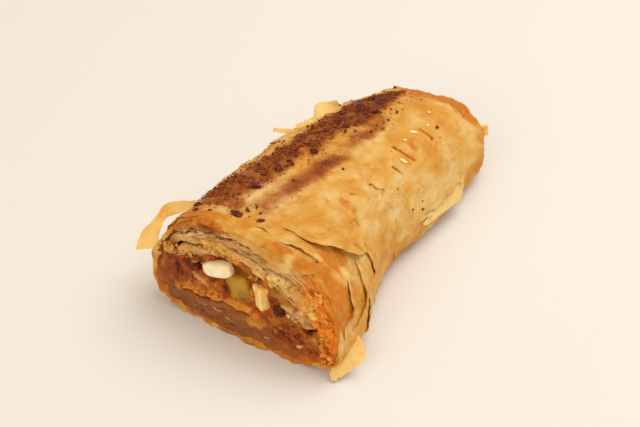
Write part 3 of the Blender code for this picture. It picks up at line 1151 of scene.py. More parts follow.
@dataclass(frozen=True)
class TornSheet(Sheet):
    """A sheet of filo on the roll. Its torn edge stands up, and the others run in under the skin.

    The front edge is given as stations of degrees round the roll and Y in millimetres, and curl,
    the height of the torn edge in millimetres, also by degrees.
    """

    front: Stations
    reach: float
    curl: Stations = even(0.5)
    ragged: float = 1.0
    torn: Edge = Edge.FRONT
    lift: float = 0.12
    toast_and_shade: float = 0.0
    rise: float = 5.0
    lip: float = 0.25
    columns: int = 160
    rows: int = 36
    seed: float = 0.0

    def tear(self, along: float, side: float) -> float:
        """Ragged offset of an edge: waves, jags and small nicks.

        Args:
            along: distance along the edge, in millimetres.
            side: a number that picks the edge.

        Returns:
            The offset in millimetres.
        """
        at = Vector((along + self.seed * 37, side * 5.1 + self.seed, 0.3))
        broad = noise.noise(at * 0.11) * 1.5
        jag = abs(noise.noise(at * 0.4)) * 1.3
        nick = noise.noise(at * 1.5) * 0.3
        return (broad + jag + nick) * self.ragged

    def place(self, u: float, v: float) -> Vector:
        """Find a point of the sheet.

        Args:
            u: share of the way from right to left.
            v: share of the way from front to back.

        Returns:
            The point.
        """
        width = abs(self.left - self.right) * 0.42
        degrees = self.degrees(u)
        if self.torn is Edge.RIGHT:
            degrees += self.tear(v * self.reach, 1.0) * (1 - u) * 1.8
        start = through(self.front, degrees)
        deep = v**1.5
        y = mix(start + self.tear(u * width, 3.0), start + self.reach, deep)
        gaps = {
            Edge.FRONT: deep * self.reach,
            Edge.BACK: (1 - deep) * self.reach,
            Edge.RIGHT: u * width,
            Edge.LEFT: (1 - u) * width,
        }
        height = self.lift
        for edge, gap in gaps.items():
            if edge is self.torn:
                waver = 0.6 + 0.9 * noise.noise(Vector((u * width * 0.17, gap * 0.1, self.seed + 7)))
                height += through(self.curl, degrees) * max(waver, 0.05) * smooth(1 - gap / self.rise)
            else:
                height -= (self.lift + 0.6) * smooth(1 - gap / 3.5)
        ripple = noise.noise(Vector((degrees * 0.1, y * 0.1, 5.0))) * 0.12
        return ROLL.skin(y * MM, math.radians(degrees), (height + ripple) * MM)

    def browning(self, vert: Vert, u: float, v: float) -> float:
        """Browning on top of the skin's: a torn front edge is paler."""
        pale = self.lip * smooth(1.3 - v**1.5 * self.reach / 2.0) if self.torn is Edge.FRONT else 0.0
        return self.toast_and_shade - pale


SHEETS = (
    TornSheet(
        "outer_wrap", 6, 84,
        ((6, -30), (18, -31.2), (27, -30.6), (31, -32.6), (34, -36), (39.7, -38.9), (47, -42.5),
         (53, -45), (59, -47.2), (64, -48.8), (69, -49.2), (75, -48.6), (84, -48.9)),
        32, curl=((6, 0.25), (27, 0.35), (34, 1.3), (42, 1.9), (54, 2.1), (63, 1.3), (70, 0.35), (84, -0.1)),
        ragged=0.3, lift=0.45, toast_and_shade=-0.12, rise=6, lip=0.55, columns=230, rows=64, seed=1,
    ),
    TornSheet(
        "second_wrap", 48, 82,
        ((48, -50), (58.6, -52.1), (62, -53), (68, -53.5), (71.4, -54.6), (82, -54.8)),
        10, curl=((48, -0.1), (58, 0.5), (68, 0.6), (82, 0.1)), ragged=0.35, lift=0.15, toast_and_shade=-0.1,
        columns=110, rows=30, seed=2,
    ),
    TornSheet(
        "short_fold", 77, 92, ((77, -54.8), (82.3, -53.8), (85.7, -53.2), (88.5, -52.8), (92, -51)), 7,
        curl=((77, 0.2), (84, 0.8), (92, 0.4)), ragged=0.15, lift=0.2, toast_and_shade=0.05, columns=60, rows=24,
        seed=2.5,
    ),
    TornSheet(
        "left_wrap", 96, 150, ((96, -55), (110, -56), (125, -56.4), (150, -57)), 9, curl=even(0.35),
        ragged=0.5, lift=0.12, toast_and_shade=0.25, columns=140, rows=22, seed=9,
    ),
    TornSheet(
        "crescent_flap", 24, 62,
        ((24, -9.2), (29.4, -9.5), (32.4, -9.6), (36.4, -10.3), (40, -10.6), (43, -9.8), (45.5, -8.4),
         (50, -10.5), (55.8, -11.3), (62, -10.6)),
        12, curl=((24, 0.2), (31, 0.6), (40, 0.7), (45, 0.4), (52, 0.3), (62, 0.05)), ragged=0.2, lift=0.1,
        rise=2.2, toast_and_shade=-0.2, columns=130, rows=34, seed=3,
    ),
    TornSheet(
        "seam_wrap", 5, 36, ((5, -12), (36, -10)), 54, curl=even(0.4), ragged=0.5,
        torn=Edge.RIGHT, lift=0.1, columns=50, rows=130, seed=4,
    ),
    TornSheet(
        "pale_underwrap", -20, 6, ((-20, 0), (6, -2)), 34, curl=even(1.5), ragged=1.3,
        torn=Edge.RIGHT, lift=0.05, toast_and_shade=-0.4, columns=44, rows=90, seed=4.7,
    ),
    TornSheet(
        "pleat_1", 4, 40,
        ((4, -58), (13.6, -56.4), (15.5, -53.2), (16.6, -50.4), (19.6, -49.7), (26.5, -49.2), (32.4, -48),
         (40, -46.4)),
        9, curl=((4, 0.3), (13, 1), (20, 1.4), (30, 1), (40, 0)), ragged=0.3, lift=0.1, rise=2.6,
        toast_and_shade=0.02, columns=150, rows=30, seed=12,
    ),
    TornSheet(
        "pleat_2", 2, 38,
        ((2, -55), (5.4, -52), (9.6, -47.7), (12.8, -42.8), (15.5, -40.7), (21.3, -40.4), (30.6, -40),
         (38, -37)),
        11, curl=((2, 0.3), (9, 1.1), (20, 1.4), (31, 0.9), (38, 0)), ragged=0.3, lift=0.3, rise=2.8,
        toast_and_shade=-0.05, columns=150, rows=32, seed=13,
    ),
    TornSheet(
        "pleat_3", -14, 14, ((-14, -46), (-3, -43.6), (8, -38.6), (14, -34.6)), 12,
        curl=((-14, 0.2), (0, 0.7), (14, 0.3)), ragged=0.5, lift=0.35, rise=3, toast_and_shade=-0.1, columns=90,
        rows=28, seed=14,
    ),
    TornSheet(
        "fold_line", 50, 68, ((50, -37.9), (57, -39.6), (63, -40.9), (68, -40.8)), 6, curl=even(0.2),
        ragged=0.2, lift=0.5, columns=70, rows=20, seed=19,
    ),
)


@dataclass(frozen=True)
class DroopingSheet(Sheet):
    """The top sheet, which bends down over the cut and ends in a torn edge.

    Its drop is given in millimetres by X in millimetres.
    """

    drop: Stations
    bulge: float
    toast_and_shade: float
    seed: float
    start: float = 5.0
    fold: float = 0.42
    columns: int = 230
    rows: int = 48

    def hang(self, x: float, u: float) -> float:
        """Millimetres that the sheet hangs down at a place: its drop, with tears and nicks in it."""
        tear = noise.noise(Vector((u * 9, 0.3, self.seed))) * 0.8
        tear -= abs(noise.noise(Vector((u * 30, 0.3, self.seed)))) * 0.9
        return max(through(self.drop, x) * (1 + 0.1 * tear) + tear * 0.6, 0.2)

    def place(self, u: float, v: float) -> Vector:
        """Find a point of the sheet.

        Args:
            u: share of the way from right to left.
            v: share of the way forward along the roll to the rim, and then down over the cut.

        Returns:
            The point.
        """
        turn = math.radians(self.degrees(u))
        rim = ROLL.section(-ROLL.length / 2, turn)
        front = ROLL.cut_y(rim.z) - 0.3 * MM
        if v < self.fold:
            share = v / self.fold
            lift = mix(-0.5, self.bulge * 0.3, smooth(share * 1.6))
            return ROLL.skin(mix(front + self.start * MM, front, share), turn, lift * MM)
        share = (v - self.fold) / (1 - self.fold)
        edge = ROLL.skin(front, turn, self.bulge * 0.3 * MM)
        fade = smooth(u / 0.08) * smooth((1 - u) / 0.08)
        down = ROLL.section(-ROLL.length / 2, turn, -self.hang(rim.x / MM, u) * fade * share * MM)
        wave = noise.noise(Vector((u * 8, share * 1.2, self.seed))) * 0.6
        wave += abs(noise.noise(Vector((u * 5 + share * 1.5, share * 7, self.seed)))) * 0.5
        out = self.bulge * 0.4 + (self.bulge + wave) * math.sin(math.pi * min(share * 0.85 + 0.05, 1.0))
        down.y = ROLL.cut_y(down.z) - out * MM * fade
        return edge.lerp(down, smooth(share * 3.0))

    def browning(self, vert: Vert, u: float, v: float) -> float:
        """Browning on top of the skin's.

        Args:
            vert: the vertex.
            u: share of the way from right to left.
            v: share of the way from front to back.

        Returns:
            The browning: mottled where the sheet hangs, with a browner lip.
        """
        degrees = self.degrees(u)
        hanging = smooth((v - self.fold) / 0.2)
        lip = smooth((v - 0.9) / 0.08)
        shade = 0.35 * band(degrees, 108, 12, 8) + self.toast_and_shade * band(degrees, 74, 24, 8)
        return shade * hanging + 0.25 * lip + 0.5 * grain(vert.co, 2.5 * MM, self.seed) * hanging


DROOPING = (
    DroopingSheet(
        "drooping_sheet", 44, 122,
        ((-26, 0.4), (-20, 1.6), (-14, 3.2), (-8, 3.7), (-1.6, 4), (3.7, 4.7), (8.2, 5.4), (13, 6.6),
         (17, 6.6), (20, 4.4), (24, 0.8)),
        0.8, -0.5, 1,
    ),
    DroopingSheet(
        "upper_drooping_sheet", 50, 116,
        ((-16, 0.5), (-8, 1.6), (0, 1.4), (6, 2.4), (12, 2.2), (17, 3.6), (22, 0.6)), 1.3, -0.1, 5,
    ),
)


@dataclass
class Coverings:
    """All torn sheets on the roll: the named ones and smaller scattered ones."""

    scattered: int = 20
    seed: int = 11

    def scatter(self) -> list[TornSheet]:
        """Draw smaller torn sheets all round the roll and along it.

        Returns:
            The sheets.
        """
        draw = random.Random(self.seed)
        made = []
        for k in range(self.scattered):
            # The golden angle spreads them evenly from low on the right to low on the left.
            middle = (k * 137.5 + draw.uniform(-20, 20)) % 225 - 22
            y = draw.uniform(-28, 38)
            wide = draw.uniform(4, 10) if 20 < middle < 115 else draw.uniform(8, 18)
            slant = draw.uniform(-0.25, 0.25)
            bulge = draw.uniform(-2.0, 2.0)
            right, left = middle - wide, middle + wide
            front = ((right, y - slant * wide), (middle, y - bulge), (left, y + slant * wide))
            reach = draw.uniform(6, 14)
            curl = even(draw.uniform(0.1, 0.35) * (1.8 if middle > 125 else 1.0))
            ragged, toast_and_shade = draw.uniform(0.5, 1.0), draw.uniform(-0.12, 0.05)
            made.append(
                TornSheet(
                    f"small_sheet_{k + 1}", right, left, front, reach, curl, ragged, lift=0.05, toast_and_shade=toast_and_shade,
                    columns=int(wide * 4.4), rows=20, seed=25.0 + k,
                )
            )
        return made

    def build(self, shop: Workshop) -> None:
        """Make all the sheets."""
        for sheet in (*DROOPING, *SHEETS, *self.scatter()):
            sheet.build(shop)


@lru_cache(maxsize=None)
def tint(code: str) -> Colour:
    """Linear colour of a hex code, as three numbers."""
    return linear(code)[:3]


def blended(a: Colour, b: Colour, share: float) -> Colour:
    """Colour between a and b."""
    return tuple(mix(p, q, share) for p, q in zip(a, b))


@dataclass(frozen=True)
class Patch:
    """A soft patch on the cut, in millimetres: its colour, a few of them painted light or shade, and how far
    it stands out or is sunk.
    """

    at: Spot
    size: Spot
    code: str
    tilt: float = 0.0
    height: float = 0.0
    strength: float = 1.0
    soft: float = 0.3

    def ends(self) -> Spot:
        """Least and greatest X that the patch reaches."""
        reach = max(self.size) * (1 + self.soft)
        return self.at[0] - reach, self.at[0] + reach

    def amount(self, x: float, z: float) -> float:
        """How much of the patch lies at a spot.

        Args:
            x: X in millimetres.
            z: Z in millimetres.

        Returns:
            The amount, from 0 to 1.
        """
        dx, dz = x - self.at[0], z - self.at[1]
        reach = max(self.size) * (1 + self.soft)
        if abs(dx) > reach or abs(dz) > reach:
            return 0.0
        turn = math.radians(self.tilt)
        across = (dx * math.cos(turn) + dz * math.sin(turn)) / self.size[0]
        up = (dz * math.cos(turn) - dx * math.sin(turn)) / self.size[1]
        return self.strength * smooth((1 + self.soft - math.hypot(across, up)) / (2 * self.soft))


@dataclass(frozen=True)
class Streak:
    """A line on the cut, in millimetres: the edge of a layer, a crack, a run of syrup, a painted glint or
    painted shade in a gap.
    """

    points: tuple[Spot, ...]
    width: float
    code: str
    height: float = 0.0
    strength: float = 1.0

    def ends(self) -> Spot:
        """Least and greatest X that the streak reaches."""
        return self.points[0][0] - self.width * 2, self.points[-1][0] + self.width * 2

    def amount(self, x: float, z: float) -> float:
        """How much of the streak lies at a spot.

        Args:
            x: X in millimetres.
            z: Z in millimetres.

        Returns:
            The amount, from 0 to 1.
        """
        nearest = self.width * 2
        for (ax, az), (bx, bz) in zip(self.points, self.points[1:]):
            span_x, span_z = bx - ax, bz - az
            share = ((x - ax) * span_x + (z - az) * span_z) / (span_x * span_x + span_z * span_z)
            share = min(max(share, 0.0), 1.0)
            nearest = min(nearest, math.hypot(x - ax - share * span_x, z - az - share * span_z))
        return self.strength * smooth(1.5 - nearest / (self.width / 2))


MARKS_AND_PAINTED_LIGHT: tuple[Patch | Streak, ...] = (
    # Thin dark gaps part the layers under the top sheet; the first, darkest line is painted shadow under the
    # top sheet's hanging edge.
    Streak(((-15.5, 29.2), (-9, 29.4), (-1.6, 30.4), (3.7, 29), (8.2, 27.9)), 0.55, "#6A3216", -0.8, 0.85),
    Streak(((-19, 28.4), (-13, 30.2), (-8, 30.6)), 1.2, "#A65C24", 0.2, 0.7),
    Streak(
        ((-17.8, 25.8), (-13.6, 26.9), (-7.8, 27.6), (-2.6, 26.7), (-0.6, 26.4)),
        0.5, "#84502A", -0.5, 0.75,
    ),
    Streak(((-0.7, 27.2), (5.2, 26.4), (9.7, 25.4), (13.1, 25)), 0.5, "#8E5830", -0.5, 0.75),
    Streak(((-12, 28.2), (-4, 28.7), (3, 27.9), (8, 26.8)), 1.5, "#C2965E", 0.2, 0.7),
    Streak(((13.8, 25.6), (16.5, 24.7), (18.6, 23.5), (20, 22.2)), 0.5, "#9A622C", -0.4, 0.7),
    # Juice-soaked dough under the filling, and the paler inner sheet above it.
    Patch((16, 5.6), (10, 4.6), "#A25C2A", -4, strength=0.75, soft=0.4),
    Streak(((-24, 5), (-16, 3.9), (-7, 3.7), (1, 3.8), (8, 3.4)), 5.8, "#8A5C40", 0.1, 0.7),
    Streak(
        ((-22, 8.6), (-17.8, 9.3), (-11.7, 9.8), (-5.8, 10.5), (3, 10.2), (7.5, 8.6)),
        2.8, "#E2A24C", 0.35, 0.95,
    ),
    Streak(((-21, 7.6), (-12, 7.7), (-5, 8.6), (3, 8.4), (8, 6.6)), 0.7, "#74361A", -0.5, 0.8),
    Streak(((-24, 3.4), (-12, 2.7), (-2, 2.6)), 0.5, "#6E3A22", -0.35, 0.5),
    # Three short pale streaks: painted wet glints on the soaked dough.
    Streak(((-9.6, 6.2), (-6.6, 5.3)), 0.4, "#EBD2B8", 0.15, 0.8),
    Streak(((-5, 4.6), (-2, 4)), 0.4, "#DDBE9E", 0.15, 0.7),
    Streak(((-14.5, 5.9), (-12, 5.6)), 0.4, "#C49A80", 0.1, 0.6),
    Streak(((0, 12.9), (4, 12), (7, 9.4), (9.6, 7.2)), 0.9, "#B05A1E", -0.2, 0.8),
    Patch((4.9, 6.7), (2.4, 1.7), "#D49C44", 10, 0.35, 0.85),
    Patch((7.9, 7.6), (1.6, 1.3), "#CC9848", 0, 0.3, 0.8),
    Patch((14.6, 12.2), (2.2, 1.2), "#B47C30", -10, 0.3, 0.85),
    Patch((18, 11.6), (2.6, 1.5), "#A66E3E", -12, 0.1, 0.8),
    Patch((14.5, 7), (1.3, 1), "#64200F", 20, -0.4, 0.85),
    Patch((16.6, 6.2), (1.5, 0.7), "#7C2A14", -15, -0.3, 0.85),
    Patch((19.6, 8.3), (1.2, 0.9), "#6A2210", 0, -0.4, 0.8),
    Patch((12, 5.8), (1.6, 0.9), "#88381A", 0, -0.2, 0.8),
    # The pale spot at 9.6, 3.5 is a painted glint.
    Patch((9.6, 3.5), (0.7, 0.5), "#EBC896", 0, 0.35, 0.7),
    Patch((20.2, 5.6), (0.7, 0.4), "#F6CDA4", 0, 0.3, 0.85),
    Patch((10.6, 10.7), (1.1, 0.6), "#C07A40", 0, 0.2, 0.8),
    Patch((24.5, 4.6), (3.4, 2.2), "#B0612C", 0, 0, 0.8),
    Patch((29, 5.4), (2.6, 3), "#D0742C", 0, 0.2, 0.85),
    # The wet left of the filling, and a dark line inside the crust.
    Streak(((-31, 9.6), (-30.9, 13), (-28.8, 18.2), (-27.1, 22.1), (-24.4, 25.2)), 1.5, "#6E3414", -0.4, 0.8),
    Streak(((-25.4, 25.6), (-22, 28.2), (-18, 30.2)), 1.8, "#B06A28", 0.2, 0.8),
    Patch((-24, 12.8), (6, 4.6), "#96522A", 8, 0, 0.7, 0.4),
    # A near-black hollow left of the almond: sunk, with painted shadow in it.
    Patch((-15.2, 17.3), (2.5, 1), "#35100A", 14, -1.8),
    Patch((-22.7, 14.2), (0.7, 2.4), "#642410", 12, -0.5, 0.85),
    Patch((-19.3, 17.3), (1.4, 1.7), "#5C2210", -20, -0.5, 0.85),
    Patch((-17.4, 14.9), (1.2, 1.7), "#702C16", 20, -0.4, 0.8),
    Patch((-25.6, 16.4), (1.7, 0.9), "#7A3418", 0, -0.3, 0.8),
    Patch((-27.6, 13.8), (0.6, 1.3), "#C48A58", 0, 0.2, 0.6),
    # Pinkish pale patches: raised wet lumps whose pale colour is a painted highlight.
    Patch((-15, 14.4), (1.7, 1), "#E0AC92", -35, 0.9, 0.85),
    Patch((-12.4, 13.1), (1.5, 0.8), "#EAB89E", -35, 0.9, 0.85),
    Patch((-18.6, 10.8), (0.6, 1.6), "#DCA688", -25, 0.6, 0.75),
    Patch((-14.6, 11.4), (2.8, 1.4), "#B87E3C", 0, 0.3, 0.8),
    Patch((-9, 13.2), (2.6, 1.5), "#B8742C", -5, 0.3, 0.8),
    Patch((-8.6, 14), (0.6, 0.5), "#E6AA78", 0, 0.4, 0.7),
    Patch((-5.6, 11.9), (3, 0.8), "#A44E1C", 5, 0, 0.8),
    Patch((-9.6, 15.4), (2.8, 0.7), "#8E3C14", 12, -0.5, 0.8),
    # Soft apple under the green dice.
    Patch((0.6, 13.6), (3.6, 1.6), "#B88A2C", -8, 0.5, 0.9),
    Patch((3.2, 15.6), (1, 1.5), "#E0AE50", -10, 0.5, 0.8),
    Patch((1.6, 12.2), (2, 0.8), "#A87828", -8, 0.1, 0.8),
    # Lower layers over the filling: crumbly, yellow, torn open on the left.
    Patch((-8.4, 25.3), (7.2, 1.7), "#F0C273", -3, 0.3, 0.9),
    Patch((-9, 26.2), (1.8, 0.9), "#D6B546", -10, 0.3, 0.85),
    Patch((-3, 24.9), (2.8, 0.9), "#ECBA66", -14, 0.1, 0.9),
    Patch((-3.4, 21.6), (5, 1.5), "#A05C20", -8, -1.4, 0.9),
    Patch((-6.5, 23.9), (2.4, 0.7), "#B98440", 0, -0.2, 0.7),
    Patch((-26.4, 19.2), (1.8, 1.7), "#E2AE66", 20, 0.5, 0.85),
    Patch((-21.3, 20.9), (1.8, 1.2), "#E9B870", 10, 0.7, 0.9),
    Patch((-23.7, 19.5), (1.3, 0.9), "#A2582A", 0, -0.3, 0.85),
    Patch((-17.4, 21.7), (2.2, 1), "#D0A262", 0, 0.3, 0.85),
    Patch((-14.6, 22.2), (1.6, 0.9), "#E2B478", 0, 0.5, 0.8),
    # Near-black ragged gaps where the layers tear open: sunk, with painted shade in them.
    Streak(
        ((-24.2, 20.6), (-21.6, 23.1), (-18.9, 23.3), (-16.5, 23.7), (-14.2, 23.8), (-11.6, 23.7)),
        1, "#38140A", -1.9,
    ),
    Streak(((-25.8, 23.5), (-22.6, 25.3), (-19.4, 27), (-16.5, 28.3)), 0.7, "#42180A", -1.3),
    # Flaky yellow and grey-white dough above and right of the wedge.
    Patch((1.5, 21.8), (3.5, 1.2), "#B58A42", -10, 0, 0.8),
    Patch((6.6, 23.6), (3.6, 1.2), "#F0D084", -4, 0.5, 0.9),
    Patch((11.4, 23.6), (3, 1.3), "#FFE7A4", -8, 0.7, 0.95),
    Patch((16.2, 22.6), (3.4, 1.3), "#F2D080", -14, 0.5, 0.9),
    Patch((19.6, 20.8), (2.2, 1.1), "#D8A65C", -25, 0.3, 0.85),
    Patch((11.6, 20.3), (3, 1.1), "#A8762C", -16, -0.3, 0.9),
    Patch((14.6, 18.4), (2.6, 1.4), "#BC8A3C", -10, 0.2, 0.85),
    Patch((17.8, 18.4), (1.6, 1.1), "#C0906A", 0, 0.1, 0.8),
    Patch((16.6, 16), (2.6, 1.1), "#DCC49C", -8, 0.8, 0.9),
    Patch((20.4, 15.4), (2.4, 1.2), "#E6CC9E", -14, 0.9, 0.9),
    Patch((23, 13.6), (1.8, 1.4), "#CFB48A", -30, 0.6, 0.85),
    Patch((22.2, 18.3), (1.7, 1.3), "#FAD47A", 0, 0.8, 0.9),
    Patch((24.8, 17.6), (1.7, 1.5), "#FFE084", 0, 0.9, 0.95),
    Patch((21.4, 20.4), (1.4, 0.9), "#EFB452", 0, 0.5, 0.85),
    Patch((27.2, 18.6), (1.6, 3), "#EE9434", 12, 0.6, 0.85),
    Patch((28.8, 14.6), (1.8, 2.6), "#EE9030", 14, 0.5, 0.85),
    Patch((30, 10.6), (1.4, 2.4), "#E4842C", 8, 0.4, 0.85),
    # A near-black ragged hole: sunk, with painted shade in it.
    Streak(
        ((21.2, 11.4), (23.2, 10.9), (24.3, 12.7), (25.6, 12.7), (26.5, 13.6), (28.2, 12.3), (27.2, 10.9)),
        0.9, "#260A05", -2.2,
    ),
    Patch((25, 9.6), (1.5, 1.1), "#CE9852", 0, 0.7, 0.9),
    Patch((27.6, 8.6), (1.4, 1.2), "#D8A45A", 0, 0.6, 0.9),
    Patch((23.4, 9.8), (1, 0.8), "#B47A3C", 0, 0.2, 0.85),
)


@dataclass(frozen=True)
class CutLook:
    """Colours and relief of the cut face, by place on it."""

    beige: Colour = tint("#E6C08C")
    seam: Colour = tint("#7C502E")
    crisp: Colour = tint("#F4BC60")
    orange: Colour = tint("#F09A34")
    soaked: Colour = tint("#A87040")
    left: Colour = tint("#A65E22")
    rim: Colour = tint("#E69C42")
    stew: Colour = tint("#A65A1E")
    stew_dark: Colour = tint("#7A3A12")
    stew_light: Colour = tint("#C88A38")

    def warp(self, x: float, z: float) -> Spot:
        """Shift a spot a little, so that no patch has a smooth outline.

        Args:
            x: X in millimetres.
            z: Z in millimetres.

        Returns:
            The shifted spot.
        """
        at = Vector((x / 2.4, z / 2.4, 0.7))
        fine = Vector((x / 0.8, z / 0.8, 3.1))
        shift_x = noise.noise(at) * 0.9 + noise.noise(fine) * 0.35
        shift_z = noise.noise(at + Vector((9, 4, 0))) * 0.7 + noise.noise(fine + Vector((5, 8, 0))) * 0.3
        return x + shift_x, z + shift_z

    def soak(self, x: float, z: float) -> float:
        """How far juice has soaked the layers: 1 low down and at the left, 0 in the crisp top and right."""
        low = smooth((13.5 - z) / 5) * smooth((24 - x) / 6)
        left = smooth((-20.0 - x) / 4) * smooth((25.5 - z) / 5)
        return max(low, left)

    def dough(self, x: float, z: float, depth: float, line: float) -> Colour:
        """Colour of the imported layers.

        Args:
            x: X in millimetres.
            z: Z in millimetres.
            depth: distance in from the crust, in millimetres.
            line: 1 in a seam between two layers and 0 on a layer.

        Returns:
            The linear colour.
        """
        right = smooth((x - 15) / 9)
        colour = blended(self.beige, self.crisp, smooth(1 - depth / 1.6) * 0.9)
        colour = blended(colour, self.orange, right)
        colour = blended(colour, self.seam, line * 0.62)
        low = smooth((12 - z) / 5)
        wet = blended(self.stewed(x, z), self.left, smooth((-20 - x) / 4) * 0.6)
        wet = blended(wet, self.soaked, low * 0.55)
        colour = blended(colour, wet, self.soak(x, z))
        width = mix(0.35, 0.75, smooth((x + 22) / 12))
        width *= 1 + 0.6 * noise.noise(Vector((x / 2.5, z / 2.5, 8.0)))
        return blended(colour, self.rim, smooth(1.3 - depth / width) * mix(0.3, 0.8, smooth((16 - z) / 5)))

    def lumps(self, point: Vector) -> float:
        """Height of the stewed surface in millimetres: soft lumps, small bits and strands."""
        lump = rough(point, 4.2 * MM, 1.0) * 0.7
        bits = grain(point, 1.5 * MM, 4.0) * 0.25
        strands = (0.4 - abs(grain(point, 3.2 * MM, 6.0)) * 2) * 0.3
        return lump + bits + strands

    def stewed(self, x: float, z: float) -> Colour:
        """Colour of the stewed apple."""
        tone = noise.fractal(Vector((x / 3.6, z / 3.6, 2.0)), 0.9, 2.1, 4)
        colour = blended(self.stew, self.stew_light, smooth(tone * 1.5))
        return blended(colour, self.stew_dark, smooth(-tone * 1.5))

    @lru_cache(maxsize=None)
    def near(self, column: int) -> tuple[Patch | Streak, ...]:
        """Marks that reach a column a millimetre wide."""
        return tuple(mark for mark in MARKS_AND_PAINTED_LIGHT if mark.ends()[0] - 1 < column < mark.ends()[1] + 1)

    def marks(self, x: float, z: float, colour: Colour) -> tuple[Colour, float]:
        """Lay every patch and streak near a spot on a colour.

        Args:
            x: X in millimetres.
            z: Z in millimetres.
            colour: the colour under them.

        Returns:
            The colour and the height in millimetres.
        """
        x, z = self.warp(x, z)
        height = 0.0
        for mark in self.near(round(x)):
            share = mark.amount(x, z)
            if share > 0:
                colour = blended(colour, tint(mark.code), share)
                height += mark.height * share
        fine = noise.noise(Vector((x / 0.8, z / 0.8, 4.0))) * 0.26
        fine += noise.noise(Vector((x / 2.2, z / 1.4, 6.0))) * 0.2
        return tuple(part * (1 + fine) for part in colour), height


LOOK = CutLook()


def between(turn: float, share: float) -> Vector:
    """Find a point in the cut between the crust and the filling.

    Args:
        turn: turn round the roll.
        share: 0 at the crust's inner side and 1 at the filling.

    Returns:
        The point.
    """
    outer = ROLL.section(-ROLL.length / 2, turn, -UNDER_CRUST)
    inner = ROLL.core(-ROLL.length / 2, turn, 1.0, -0.35 * MM)
    point = outer.lerp(inner, share)
    point.y = ROLL.cut_y(point.z)
    return point


@dataclass(frozen=True)
class DoughRing:
    """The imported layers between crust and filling, as one solid with a layered front."""

    columns: int = 440
    face_rows: int = 66
    depth: float = 7 * MM
    inset: float = 2.4 * MM
    pitch: float = 1.0 * MM
    seam_depth: float = 0.25 * MM
    face_end: float = 0.6
    outside_end: float = 0.75
    back_end: float = 0.85

    def seam(self, point: Vector, depth: float, turn: float) -> float:
        """How far a point lies in the seam between two layers.

        Args:
            point: the point on the face.
            depth: its distance in from the crust.
            turn: its turn round the roll.

        Returns:
            1 in a seam and 0 on a layer.
        """
        wander = rough(point, 8 * MM, 3.3) * 1.1 + grain(point, 1.5 * MM, 2.0) * 0.12
        phase = depth / self.pitch + wander
        layer = round(phase)
        width = 0.12 + 0.1 * noise.noise(Vector((layer * 3.7, turn * 2.5, 0.5)))
        strength = smooth(0.55 + 1.4 * noise.noise(Vector((layer * 1.9, turn * 3.0, 2.5))))
        return smooth(1.4 - abs(phase - layer) / max(width, 0.03)) * strength

    def face_share(self, v: float) -> float:
        """Share of the way from the crust to the filling at v, on the face and 0 past it."""
        return round(max(1 - v / self.face_end, 0.0), 5)

    def thickness(self, turn: float) -> float:
        """Distance between crust and filling."""
        return (between(turn, 0) - between(turn, 1)).length

    @lru_cache(maxsize=None)
    def look(self, turn: float, share: float) -> tuple[Colour, float]:
        """Look of the face.

        Args:
            turn: turn round the roll.
            share: 0 at the crust and 1 at the filling.

        Returns:
            The colour, and the height in metres.
        """
        point = between(turn, share)
        depth = share * self.thickness(turn)
        line = self.seam(point, depth, turn)
        colour = LOOK.dough(point.x / MM, point.z / MM, depth / MM, line)
        colour, height = LOOK.marks(point.x / MM, point.z / MM, colour)
        bare = smooth((1.4 - abs(height)) / 0.6)
        sheets = noise.noise(Vector((round(depth / self.pitch) * 2.3, turn * 1.4, 4.0))) * 0.3
        dry = rough(point, 2.6 * MM, 7.0) * 0.45 + grain(point, 0.9 * MM, 9.0) * 0.14 + sheets
        dry -= line * self.seam_depth / MM * bare
        wet = LOOK.lumps(point)
        return colour, (height + mix(dry, wet, LOOK.soak(point.x / MM, point.z / MM))) * MM

    def place(self, u: float, v: float) -> Vector:
        """Find a point of the ring.

        Args:
            u: share of the way round.
            v: share of the way over its face, back along its outside, and forward again.

        Returns:
            The point.
        """
        turn = 2 * math.pi * u
        if v <= self.face_end:
            share = self.face_share(v)
            point = between(turn, share)
            point.y -= self.look(turn, share)[1] - 0.5 * MM
            return point
        start = between(turn, 0).y
        if v <= self.outside_end:
            back = (v - self.face_end) / (self.outside_end - self.face_end)
            y = start + mix(0.5 * MM, self.depth, back)
            return ROLL.section(y, turn, -mix(UNDER_CRUST, self.inset, smooth(back * 2)))
        if v <= self.back_end:
            outer = ROLL.section(start + self.depth, turn, -self.inset)
            inner = between(turn, 1)
            inner.y += self.depth
            return outer.lerp(inner, (v - self.outside_end) / (self.back_end - self.outside_end))
        point = between(turn, 1)
        start = self.place(u, 0.0).y
        point.y = mix(point.y + self.depth, start, (v - self.back_end) / (1 - self.back_end))
        return point

    def build(self, shop: Workshop) -> None:
        """Make the ring."""
        bm = grid(self.columns, round(self.face_rows / self.face_end), self.place, paint_layer=True)
        paint_colour(bm, lambda vert, u, v: self.look(2 * math.pi * u, self.face_share(v))[0])
        close(bm)
        shop.piece("packed_layers", bm, DOUGH)


@dataclass(frozen=True)
class LayerEdge:
    """One dough layer that stands proud in the cut, from one turn round the roll to another."""

    right: float
    left: float
    share: float
    proud: float
    code: str
    thickness: float = 0.3


